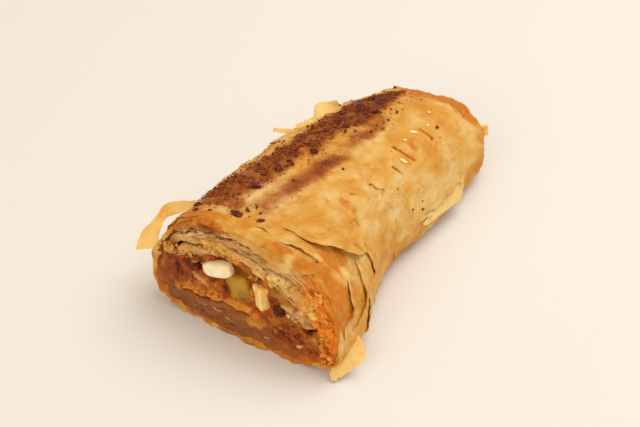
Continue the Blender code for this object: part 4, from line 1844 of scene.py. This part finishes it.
@dataclass
class CutLayers:
    """Single layers that stick out of the cut, above and beside the filling."""

    depth: float = 6 * MM
    columns: int = 120
    rows: int = 8
    edges: tuple[LayerEdge, ...] = (
        LayerEdge(92, 140, 0.24, 0.5, "#C99E6A", 0.22),
        LayerEdge(84, 118, 0.44, 0.5, "#D2AE7C", 0.22),
        LayerEdge(60, 100, 0.6, 0.5, "#D8B68A", 0.22),
        LayerEdge(56, 92, 0.74, 0.5, "#CFAA7A", 0.22),
        LayerEdge(52, 84, 0.88, 0.5, "#E6C07C", 0.25),
        LayerEdge(8, 44, 0.3, 0.5, "#F2A848", 0.3),
        LayerEdge(16, 48, 0.62, 0.5, "#F0B654", 0.3),
    )

    def place(self, layer: LayerEdge, seed: float, u: float, v: float) -> Vector:
        """Find a point of one layer.

        Args:
            layer: the layer.
            seed: picks its waves.
            u: share of the way round the roll.
            v: share of the way into it.

        Returns:
            The point.
        """
        turn = math.radians(mix(layer.right, layer.left, u))
        wave = noise.noise(Vector((u * 7 + seed, v * 1.5, seed))) * 0.06
        wave += noise.noise(Vector((u * 26 + seed, v * 3, seed))) * 0.016
        ends = smooth(u / 0.15) * smooth((1 - u) / 0.15)
        point = between(turn, min(max(layer.share + wave, 0.01), 0.985))
        at = Vector((u * 6, seed, 0.0))
        jag = noise.noise(at * 2.0) * 0.7 + noise.noise(at * 8.0) * 0.4 - abs(noise.noise(at * 4.0)) * 0.5
        front = (0.9 - layer.proud * ends * 1.6 - jag) * MM
        point.y += mix(front, self.depth, v**1.6)
        return point

    def build(self, shop: Workshop) -> None:
        """Make every layer edge.

        Args:
            shop: makes the piece.
        """
        for k, layer in enumerate(self.edges):
            seed = 3.3 * k + 1
            bm = grid(self.columns, self.rows, lambda u, v: self.place(layer, seed, u, v), paint_layer=True)
            main, dark = tint(layer.code), blended(tint(layer.code), LOOK.seam, 0.7)

            def colour(vert: Vert, u: float, v: float) -> Colour:
                """Colour of a layer, darker away from its edge."""
                share = smooth(v * 5) * 0.8 + 0.5 * max(grain(vert.co, 3 * MM, seed), 0.0)
                return blended(main, dark, min(share, 1.0))

            paint_colour(bm, colour)
            thicken(bm, layer.thickness * MM)
            shop.piece(f"cut_layer_{k + 1}", bm, DOUGH)


@dataclass(frozen=True)
class Filling:
    """The cinnamon apple filling, with lumps and syrup on its cut face."""

    columns: int = 320
    rows: int = 130
    face_share: float = 0.75
    stop: float = 0.88

    @lru_cache(maxsize=None)
    def look(self, x: float, z: float) -> tuple[Colour, float]:
        """Colour and height of the cut face at a spot in millimetres."""
        point = Vector((x * MM, ROLL.cut_y(z * MM), z * MM))
        colour, height = LOOK.marks(x, z, LOOK.stewed(x, z))
        return colour, (height + LOOK.lumps(point)) * MM

    def place(self, u: float, v: float) -> Vector:
        """Find a point of the filling.

        Args:
            u: share of the way round it.
            v: share of the way from the middle of its face back to its far end.

        Returns:
            The point.
        """
        turn = 2 * math.pi * u
        if v <= self.face_share:
            point = ROLL.core(-ROLL.length / 2, turn, max(v / self.face_share, 0.002))
            spot = (round(point.x / MM, 4), round(point.z / MM, 4))
            point.y = ROLL.cut_y(point.z) - self.look(*spot)[1] + 0.4 * MM
            return point
        share = (v - self.face_share) / (1 - self.face_share)
        y = mix(ROLL.cut_y(12 * MM) + 0.8 * MM, (self.stop - 0.5) * ROLL.length, min(share / 0.85, 1.0))
        return ROLL.core(y, turn, 1.0 - smooth((share - 0.7) / 0.3) * 0.998)

    def build(self, shop: Workshop) -> None:
        """Make the filling."""
        bm = grid(self.columns, self.rows, self.place, paint_layer=True)
        paint_colour(bm, lambda vert, u, v: self.look(round(vert.co.x / MM, 4), round(vert.co.z / MM, 4))[0])
        close(bm)
        shop.piece("apple_filling", bm, FRUIT, replaces="filling")


@dataclass
class FillingBits:
    """Small lumps of apple and soaked crumb pressed into the cut face of the filling."""

    count: int = 50
    seed: int = 3

    def build(self, shop: Workshop) -> None:
        """Make the bits as one piece.

        Args:
            shop: makes the piece.
        """
        draw = random.Random(self.seed)
        bm = bmesh.new()
        layer = bm.verts.layers.float_color.new("paint")
        for _ in range(self.count):
            turn, scale = draw.uniform(0, 2 * math.pi), math.sqrt(draw.uniform(0.02, 0.86))
            point = ROLL.core(-ROLL.length / 2, turn, scale)
            x, z = point.x / MM, point.z / MM
            colour, height = LOOK.marks(x, z, LOOK.stewed(x, z))
            if height < -0.3:
                continue
            size = draw.uniform(0.3, 0.7) * MM
            at = Vector((point.x, ROLL.cut_y(point.z) - height * MM + size * 0.35, point.z))
            shade = blended(colour, tint(draw.choice(("#C88A44", "#7E3A18", "#D8A468", "#A8602A"))), 0.5)
            made = bmesh.ops.create_icosphere(bm, subdivisions=3, radius=size)
            seed = draw.uniform(0, 60)
            squash = Vector([draw.uniform(0.7, 1.4) for _ in range(3)])
            for vert in made["verts"]:
                lump = 1 + 0.5 * noise.noise(vert.co * (0.9 / size) + Vector((seed, 0, seed)))
                vert.co = Vector([c * k for c, k in zip(vert.co, squash)]) * lump + at
                vert[layer] = (*shade, 1.0)
        shop.piece("filling_bits", bm, FRUIT)


@dataclass(frozen=True)
class FlakeField:
    """A part of the cut that bristles with little crisp flakes, in millimetres."""

    at: Spot
    size: Spot
    count: int
    codes: tuple[str, ...]
    reach: float = 0.8
    scale: float = 1.0


@dataclass
class CrispFlakes:
    """Little flakes of crisp and of flaky dough that stand out of the cut."""

    seed: int = 8
    fields: tuple[FlakeField, ...] = (
        FlakeField((24.5, 22.6), (3.6, 3), 14, ("#FFB04A", "#F89830", "#FFC468"), 0.7, 1.6),
        FlakeField((28.6, 15.5), (2.2, 5.4), 20, ("#FFA83A", "#F8962C", "#FFC060"), 0.8, 1.7),
        FlakeField((29.6, 7.2), (1.9, 4.2), 15, ("#F8A23C", "#E88A2C", "#FABC60"), 0.8, 1.4),
        FlakeField((23.8, 18), (2.6, 2.2), 26, ("#F6CC68", "#FBD880", "#E8B04C"), 0.8),
        FlakeField((20.2, 15), (4.2, 1.6), 22, ("#E2CCA4", "#CDB48A", "#EED8AC"), 0.6),
        FlakeField((12.5, 23.2), (9, 1.6), 30, ("#EBC87C", "#F6DA92", "#D2A858"), 0.6, 1.2),
        FlakeField((-9, 25.2), (7, 1.2), 26, ("#EEC276", "#F4D088", "#D2AE46"), 0.6),
        FlakeField((-22, 20.6), (5, 1.8), 20, ("#DCA860", "#B87C40", "#EABC78"), 0.6),
        FlakeField((25.6, 9.2), (2.6, 1.5), 22, ("#D8A45A", "#C48C48", "#B0703A"), 0.8),
    )

    def build(self, shop: Workshop) -> None:
        """Make the flakes as one piece.

        Args:
            shop: makes the piece.
        """
        draw = random.Random(self.seed)
        bm = bmesh.new()
        layer = bm.verts.layers.float_color.new("paint")
        for patch in self.fields:
            for _ in range(patch.count):
                radius, turn = math.sqrt(draw.random()), draw.uniform(0, 2 * math.pi)
                x = patch.at[0] + patch.size[0] * radius * math.cos(turn)
                z = max(patch.at[1] + patch.size[1] * radius * math.sin(turn), 0.3)
                wide, tall = draw.uniform(0.5, 1.5) * patch.scale, draw.uniform(0.4, 1.0) * patch.scale
                made = bmesh.ops.create_grid(bm, x_segments=4, y_segments=3, size=0.5)
                seed = draw.uniform(0, 60)
                colour = blended(tint(draw.choice(patch.codes)), tint("#B86420"), draw.uniform(0, 0.15))
                lean, nod = draw.uniform(-0.9, 0.9), draw.uniform(-1.2, 0.6)
                spin = Matrix.Rotation(lean, 3, "Y") @ Matrix.Rotation(nod, 3, "X")
                at = Vector((x * MM, ROLL.cut_y(z * MM) - draw.uniform(-0.2, patch.reach) * MM, z * MM))
                for vert in made["verts"]:
                    bend = noise.noise(vert.co * 2.5 + Vector((seed, seed, 0))) * 0.7
                    edge = 1 + 0.5 * noise.noise(vert.co * 4 + Vector((seed, 0, 0)))
                    flat = Vector((vert.co.x * wide * edge, bend * 0.7, vert.co.y * tall * edge))
                    vert.co = spin @ flat * MM + at
                    vert[layer] = (*blended(colour, tint("#FFE0A0"), max(bend, 0.0) * 0.4), 1.0)
        thicken(bm, 0.12 * MM)
        shop.piece("crisp_flakes", bm, DOUGH)


def sized(size: Sequence[float]) -> Matrix:
    """Stretch to a width, depth and height in millimetres."""
    return Matrix.Diagonal((*(side * MM for side in size), 1.0))


def seat(centre: Sequence[float], tilt: float, twist: float = 0.0) -> Matrix:
    """Place of a chunk in the cut.

    Args:
        centre: its X, how far it is set in behind the cut, and its Z, in millimetres.
        tilt: its tilt in the plane of the cut, in degrees.
        twist: its turn about the upright, in degrees.

    Returns:
        The transform.
    """
    turn = Matrix.Rotation(math.radians(twist), 4, "Z") @ Matrix.Rotation(-math.radians(tilt), 4, "Y")
    x, depth, z = (value * MM for value in centre)
    return Matrix.Translation((x, ROLL.cut_y(z) + depth, z)) @ turn


@dataclass
class Chunks:
    """The almond, the apple and the raisin that show at the cut."""

    def almond(self, shop: Workshop) -> None:
        """Make the almond sliver: blunt ends, a flat cut side and faint grooves.

        Args:
            shop: makes the piece.
        """
        bm = bmesh.new()
        bmesh.ops.create_uvsphere(bm, u_segments=72, v_segments=40, radius=0.5)
        for vert in bm.verts:
            groove = 1 + 0.02 * noise.noise(Vector((vert.co.x * 2, vert.co.y * 12, vert.co.z * 12)))
            x, y, z = (signed_power(side * 2, power) / 2 for side, power in zip(vert.co, (0.6, 0.6, 0.55)))
            vert.co = Vector((x, y, z * (1 + 0.14 * x))) * groove
        bmesh.ops.transform(bm, matrix=seat((-7.9, 0.2, 19.5), 17) @ sized((10.4, 3.8, 4.7)), verts=bm.verts)
        shop.piece("almond_sliver", bm, ALMOND, replaces="almond")

    def dice(
        self, shop: Workshop, name: str, finish: Finish, size: Sequence[float], matrix: Matrix, taper: float,
        node: str,
    ) -> None:
        """Make a dice of apple with soft edges and uneven sides.

        Args:
            shop: makes the piece.
            name: the piece's name.
            finish: its finish.
            size: its sides in millimetres.
            matrix: its place.
            taper: share of its width left at its foot.
            node: the CAD node that it replaces.
        """
        bm = bmesh.new()
        bmesh.ops.create_cube(bm, size=1.0)
        for vert in bm.verts:
            vert.co.x *= taper if vert.co.z < 0 else 1.0
        bmesh.ops.transform(bm, matrix=sized(size), verts=bm.verts)
        bmesh.ops.bevel(
            bm, geom=list(bm.edges), offset=min(size) * 0.17 * MM, offset_type="OFFSET", segments=4,
            profile=0.5, material=-1, affect="EDGES",
        )
        bmesh.ops.subdivide_edges(bm, edges=list(bm.edges), cuts=3, use_grid_fill=True)
        bmesh.ops.smooth_vert(
            bm, verts=bm.verts, factor=0.5, use_axis_x=True, use_axis_y=True, use_axis_z=True,
        )
        for vert in bm.verts:
            bend = Vector([grain(vert.co, 4 * MM, seed) for seed in (1.0, 5.0, 9.0)])
            vert.co += bend * 0.45 * MM
        bmesh.ops.transform(bm, matrix=matrix, verts=bm.verts)
        bmesh.ops.recalc_face_normals(bm, faces=bm.faces)
        shop.piece(name, bm, finish, replaces=node)

    def raisin(self, shop: Workshop) -> None:
        """Make the raisin: an egg form with creases.

        Args:
            shop: makes the piece.
        """
        bm = bmesh.new()
        bmesh.ops.create_icosphere(bm, subdivisions=5, radius=0.5)
        for vert in bm.verts:
            crease = abs(noise.noise(vert.co * 7)) * 0.4 + 0.12 * noise.noise(vert.co * 3)
            vert.co *= 0.92 + crease
        bmesh.ops.transform(bm, matrix=seat((13.4, 1.5, 14.0), 15) @ sized((4.6, 5.0, 3.6)), verts=bm.verts)
        shop.piece("raisin_in_cut", bm, RAISIN, replaces="raisin")

    def build(self, shop: Workshop) -> None:
        """Make all the chunks.

        Args:
            shop: makes the piece.
        """
        self.almond(shop)
        green, pale = seat((-0.6, 2.8, 16.6), 22, 8), seat((7.7, 1.9, 16.2), 12, -28)
        self.dice(shop, "green_apple_dice", GREEN_APPLE, (7.4, 8.0, 7.2), green, 0.85, "apple_chunk")
        self.dice(shop, "pale_apple_wedge", PALE_APPLE, (5.4, 6.4, 7.4), pale, 0.66, "apple_wedge")
        self.raisin(shop)


def on_skin(y: float, degrees: float, lift: float) -> Vector:
    """Point above the skin, at Y in millimetres and degrees round the roll, lift in metres."""
    return ROLL.skin(y * MM, math.radians(degrees), lift)


@dataclass
class SugarCrumbs:
    """Crumbs of cinnamon sugar: fine ones all over the band, coarser ones and a few big clumps."""

    fine: int = 2600
    coarse: int = 480
    loose: int = 40
    seed: int = 5
    clumps: tuple[tuple[float, float, float], ...] = (
        (-37.4, 101.3, 1.8), (-50.6, 98.9, 1.4), (-47.5, 96.3, 0.8), (-25.8, 99.5, 1.3), (-11.6, 93, 1.4),
        (-8.2, 99.6, 1.1), (-38.2, 124, 1.1), (-39, 128.3, 0.7), (-33.4, 119.5, 0.9), (-49.9, 89.3, 0.8),
        (-21.8, 95.5, 0.8), (-20.3, 98.5, 0.6), (-45.3, 93.6, 0.5), (-49.7, 125, 1), (-52.1, 123, 1.1),
        (-52.5, 112.7, 0.7), (24.2, 123.4, 0.5), (10.1, 84.9, 0.5), (3.2, 112, 1), (6.1, 110.1, 0.8),
        (5.2, 120.2, 0.6), (3, 103.6, 0.9), (24.1, 105, 2), (10.7, 103.6, 1.3), (23.8, 93.9, 1.1),
        (8.6, 96.3, 1), (50.7, 115.4, 0.7), (41.4, 99.1, 0.8), (-30.6, 103.1, 1), (-26.4, 119.4, 0.5),
        (-25.3, 114.1, 0.8), (-17.4, 112.7, 0.5), (-4.6, 109.8, 0.7), (-13.8, 104.6, 0.7), (33, 108, 1.2),
        (17, 110, 1), (30, 99, 0.9), (38, 112, 0.8), (-44, 112, 0.7), (-0.5, 106, 0.6),
    )
    specks: tuple[tuple[float, float, float], ...] = (
        (-43.4, 59.3, 0.55), (-30.6, 33.7, 0.5), (-14, 74.8, 0.35), (-20.7, 39, 0.25), (30.8, 59.3, 0.5),
        (6.2, 28.4, 0.25), (-52.5, 54.5, 0.22), (-40.9, 75.1, 0.3), (-28.7, 89.5, 0.4), (5.8, 13, 0.55),
        (6.9, 18, 0.3), (0.9, 18, 0.4), (29, 134, 0.6),
    )

    def crumb(self, bm: bmesh.types.BMesh, at: Vector, size: float, draw: random.Random, detail: int) -> None:
        """Add one uneven crumb.

        Args:
            bm: the mesh it goes into.
            at: its place.
            size: its radius.
            draw: random numbers.
            detail: how finely it is divided.
        """
        made = bmesh.ops.create_icosphere(bm, subdivisions=detail, radius=size)
        seed = draw.uniform(0, 50)
        squash = Vector((draw.uniform(0.75, 1.25), draw.uniform(0.75, 1.25), draw.uniform(0.6, 1.0)))
        for vert in made["verts"]:
            lump = 1 + 0.6 * noise.noise(vert.co * (1.1 / size) + Vector((seed, seed, 0)))
            vert.co = Vector((vert.co.x * squash.x, vert.co.y * squash.y, vert.co.z * squash.z)) * lump + at

    def spot(self, draw: random.Random) -> tuple[float, float]:
        """Pick a place in the band, where its crumbs lie in patches.

        Args:
            draw: random numbers.

        Returns:
            Y in millimetres and degrees.
        """
        while True:
            y = draw.uniform(SUGAR.start, SUGAR.end)
            degrees = through(SUGAR.middle, y) + draw.gauss(0, 0.6) * through(SUGAR.half, y)
            point = ROLL.section(y * MM, math.radians(degrees))
            if rough(point, 4 * MM, 6.6) * 1.6 + draw.uniform(-0.5, 0.5) > 0:
                return y, degrees

    def scatter(
        self, shop: Workshop, name: str, count: int, sizes: Spot, detail: int, draw: random.Random,
    ) -> None:
        """Scatter crumbs over the band as one piece.

        Args:
            shop: makes the piece.
            name: the piece's name.
            count: how many crumbs.
            sizes: least and greatest radius, in millimetres.
            detail: how finely each is divided.
            draw: random numbers.
        """
        bm = bmesh.new()
        for start in range(0, count, 100):
            part = bmesh.new()
            for _ in range(min(100, count - start)):
                y, degrees = self.spot(draw)
                size = mix(sizes[0], sizes[1], draw.random() ** 2) * MM
                self.crumb(part, on_skin(y, degrees, 0.2 * MM + 0.4 * size), size, draw, detail)
            gather(bm, part)
        shop.piece(name, bm, CRUMB)

    def build(self, shop: Workshop) -> None:
        """Make the crumbs as one piece for each size.

        Args:
            shop: makes the piece.
        """
        draw = random.Random(self.seed)
        self.scatter(shop, "fine_sugar_crumbs", self.fine, (0.1, 0.26), 1, draw)
        self.scatter(shop, "coarse_sugar_crumbs", self.coarse, (0.22, 0.46), 2, draw)
        bm = bmesh.new()
        for y, degrees, radius in self.clumps:
            part = bmesh.new()
            for _ in range(9):
                at_y, at_degrees = y + draw.gauss(0, 0.3) * radius, degrees + draw.gauss(0, 0.6) * radius
                size = draw.uniform(0.3, 0.6) * min(radius, 1.5) * MM
                lift = 0.2 * MM + draw.uniform(0.0, 0.6) * radius * MM * 0.6
                self.crumb(part, on_skin(at_y, at_degrees, lift), size, draw, 2)
            gather(bm, part)
        shop.piece("sugar_clumps", bm, DARK_CRUMB)
        bm = bmesh.new()
        for y, degrees, size in self.specks:
            self.crumb(bm, on_skin(y, degrees, 0.3 * MM), size * MM, draw, 3)
        for _ in range(self.loose):
            y, degrees = draw.uniform(-50, 48), draw.uniform(-10, 185)
            self.crumb(bm, on_skin(y, degrees, 0.2 * MM), draw.uniform(0.12, 0.32) * MM, draw, 2)
        shop.piece("stray_specks", bm, DARK_CRUMB)


@dataclass
class ButterBeads:
    """Beads of butter that set on the crust beside its slits."""

    beads: tuple[tuple[float, float, float, float], ...] = (
        (34.9, 71.5, 0.6, 0.35), (27.8, 65, 0.5, 0.4), (20.6, 67.4, 1.3, 0.5), (13.9, 66.6, 0.6, 0.4),
        (6.2, 55, 1.4, 0.55),
    )

    def build(self, shop: Workshop) -> None:
        """Make the beads as one piece: flat drops stretched round the roll.

        Args:
            shop: makes the piece.
        """
        bm = bmesh.new()
        for y, degrees, long, wide in self.beads:
            turn = math.radians(degrees)
            at = ROLL.skin(y * MM, turn, 0.25 * MM)
            ahead = ROLL.skin(y * MM, turn - 0.04, 0.25 * MM) - at
            along = (ahead.normalized() + Vector((0, 0.7, 0))).normalized()
            out = ahead.cross(Vector((0, 1, 0))).normalized() * -1
            basis = Matrix((along, out.cross(along), out)).transposed().to_4x4()
            size = Matrix.Diagonal((long * MM, wide * MM, 0.3 * MM, 1.0))
            bmesh.ops.create_uvsphere(
                bm, u_segments=32, v_segments=20, radius=1.0, matrix=Matrix.Translation(at) @ basis @ size,
            )
        shop.piece("butter_beads", bm, BUTTER)


@dataclass(frozen=True)
class LooseFlake:
    """A shard of filo that hangs off the roll, spread between two edges given in millimetres."""

    name: str
    one: tuple[tuple[float, float, float], ...]
    other: tuple[tuple[float, float, float], ...]
    ragged: float = 0.35
    ripple: float = 0.5
    thickness: float = 0.2
    toast_and_shade: float = -0.35
    seed: float = 1.0

    def at(self, points: Sequence[Sequence[float]], u: float) -> Vector:
        """Point along an edge whose points are spread evenly over it."""
        last = len(points) - 1
        lines = ([(k / last, point[axis]) for k, point in enumerate(points)] for axis in range(3))
        return Vector([through(line, u) for line in lines])

    def place(self, u: float, v: float) -> Vector:
        """Find a point of the flake.

        Args:
            u: share of the way along it.
            v: share of the way across it.

        Returns:
            The point.
        """
        one, other = self.at(self.one, u), self.at(self.other, u)
        nick = noise.noise(Vector((u * 14, self.seed, round(v)))) * self.ragged
        across = (other - one).normalized()
        point = one.lerp(other, v) + across * nick * (2 * v - 1)
        ahead, behind = self.at(self.one, min(u + 0.02, 1.0)), self.at(self.one, max(u - 0.02, 0.0))
        side = across.cross(ahead - behind).normalized()
        wave = noise.noise(Vector((u * 3, v * 1.2, self.seed)))
        wave += 0.3 * noise.noise(Vector((u * 9, v * 4, self.seed)))
        return (point + side * wave * self.ripple) * MM

    def build(self, shop: Workshop) -> None:
        """Make the flake."""
        bm = grid(60, 18, self.place, ("toast_and_shade", "spice"))
        paint(bm, "toast_and_shade", lambda vert, u, v: self.toast_and_shade + 0.15 * grain(vert.co, 4 * MM, self.seed))
        thicken(bm, self.thickness * MM)
        shop.piece(self.name, bm, PALE_FILO)


FLAKES = (
    LooseFlake(
        "left_shard",
        ((-21, -47.4, 28.8), (-25.5, -47, 26.8), (-29.6, -48.6, 24.6), (-32.4, -50.6, 23),
         (-32.6, -53.4, 20), (-32.2, -56, 15.6)),
        ((-21.6, -45.2, 30.2), (-27.4, -46.2, 28.8), (-33.4, -48.8, 27), (-35.2, -52, 23.2),
         (-37.4, -56.4, 19.2), (-37.2, -59.4, 15.2)),
        ripple=0.6,
    ),
    LooseFlake(
        "right_shard",
        ((31.6, -60.4, 1.9), (31.2, -58.4, 4.8), (32, -55.4, 7.4), (33.4, -52.4, 9.4), (34.6, -50.6, 10.2)),
        ((32.7, -61, 0.4), (34.4, -59, 1.6), (36.2, -56.4, 3.2), (38.2, -53.4, 5.6), (36.6, -51.2, 8.2)),
        ragged=0.7, ripple=0.5, seed=4,
    ),
    LooseFlake(
        "right_wing",
        ((20, 36, 9.6), (20.8, 29, 10), (21.5, 20, 10.4), (22, 12, 10.4), (22.2, 5, 10)),
        ((20.2, 35, 7.4), (22.6, 29, 5.8), (22.6, 23, 6.4), (22.7, 14, 7.8), (22.7, 8, 8.4),
         (22.4, 5.4, 9.2)),
        ragged=0.4, ripple=0.3, seed=11,
    ),
    LooseFlake(
        "left_flap", ((-20.5, 9.8, 28.2), (-19.4, 14.8, 28.6), (-17, 21, 28.2)),
        ((-24, 13.4, 29.4), (-24.4, 16.2, 32.2), (-19.6, 20.4, 33)), ragged=0.5, seed=6,
    ),
    LooseFlake(
        "left_curl", ((-20.5, 3, 28), (-25.6, 1.4, 28.2), (-29.6, -0.8, 28.4)),
        ((-20.8, 3.8, 29.2), (-25.6, 2.4, 29.3), (-29.9, -0.2, 29.5)), ragged=0.2, ripple=0.3, seed=7,
    ),
    LooseFlake(
        "left_chip", ((-20.5, 4.4, 28), (-19.5, 11, 28.4)), ((-25.8, 5.6, 28.8), (-22, 10.4, 31)),
        ragged=0.4, ripple=0.3, seed=8,
    ),
    LooseFlake(
        "far_tab", ((14.6, 52.2, 18.4), (15.8, 52.4, 16.4)), ((17.6, 55.3, 19.4), (18.8, 54, 15.8)),
        ragged=0.3, ripple=0.3, toast_and_shade=0.1, seed=9,
    ),
)


@dataclass
class Studio:
    """Floor, soft lights and camera."""

    camera_at: tuple[float, float, float] = (171.1, -272.4, 232.9)
    look_at: tuple[float, float, float] = (-15.0, 3.9, 0.0)
    lens: float = 70.3
    sensor: float = 36.0
    floor_half: float = 3.0

    def floor(self) -> None:
        """Plain pale floor."""
        bm = bmesh.new()
        bmesh.ops.create_grid(bm, x_segments=1, y_segments=1, size=self.floor_half)
        mesh = mesh_of(bm, "floor")
        material = bpy.data.materials.new("matt_white_table")
        material.use_nodes = True
        shader = material.node_tree.nodes["Principled BSDF"]
        shader.inputs["Base Color"].default_value = linear("#E7E7E4")
        shader.inputs["Roughness"].default_value = 0.9
        shader.inputs["Specular IOR Level"].default_value = 0.1
        mesh.materials.append(material)
        add_object("floor", mesh)

    def lamp(self, name: str, at: Sequence[float], size: float, power: float, colour: str) -> None:
        """Square soft light aimed at the roll.

        Args:
            name: its name.
            at: where it hangs, in metres.
            size: its side, in metres.
            power: its power, in watts.
            colour: its colour.
        """
        light = bpy.data.lights.new(name, "AREA")
        light.shape = "SQUARE"
        light.size = size
        light.energy = power
        light.color = linear(colour)[:3]
        obj = add_object(name, light)
        obj.location = at
        obj.rotation_euler = (-Vector(at)).to_track_quat("-Z", "Y").to_euler()

    def camera(self) -> None:
        """Camera that looks down on the cut end from its right."""
        data = bpy.data.cameras.new("camera")
        data.lens = self.lens
        data.sensor_width = self.sensor
        data.clip_start = 0.01
        obj = add_object("camera", data)
        start, end = Vector(self.camera_at) * MM, Vector(self.look_at) * MM
        obj.location = start
        obj.rotation_euler = (end - start).to_track_quat("-Z", "Y").to_euler()
        bpy.context.scene.camera = obj

    def build(self) -> None:
        """Set up the studio."""
        self.floor()
        self.lamp("overhead_softbox", (0.28, 0.36, 0.95), 0.85, 7.0, "#FFFFFF")
        self.lamp("front_fill", (0.3, -1.5, 0.85), 1.3, 9.6, "#FFFFFF")
        world = bpy.data.worlds.new("room")
        world.use_nodes = True
        world.node_tree.nodes["Background"].inputs[0].default_value = linear("#FFE8CC")
        world.node_tree.nodes["Background"].inputs[1].default_value = 0.6
        bpy.context.scene.world = world
        bpy.context.scene.view_settings.view_transform = "Standard"
        self.camera()


def write_sizes() -> None:
    """Bring the scene's transforms up to date."""
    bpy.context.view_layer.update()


def main() -> None:
    """Build the strudel's looks."""
    logging.basicConfig(level=logging.INFO, format="%(message)s")
    shop = Workshop()
    Studio().build()
    Crust().build(shop)
    Coverings().build(shop)
    DoughRing().build(shop)
    CutLayers().build(shop)
    Filling().build(shop)
    FillingBits().build(shop)
    CrispFlakes().build(shop)
    Chunks().build(shop)
    SugarCrumbs().build(shop)
    ButterBeads().build(shop)
    for flake in FLAKES:
        flake.build(shop)
    log.info("%d triangles in all", shop.total)
    write_sizes()


if __name__ == "__main__":
    main()
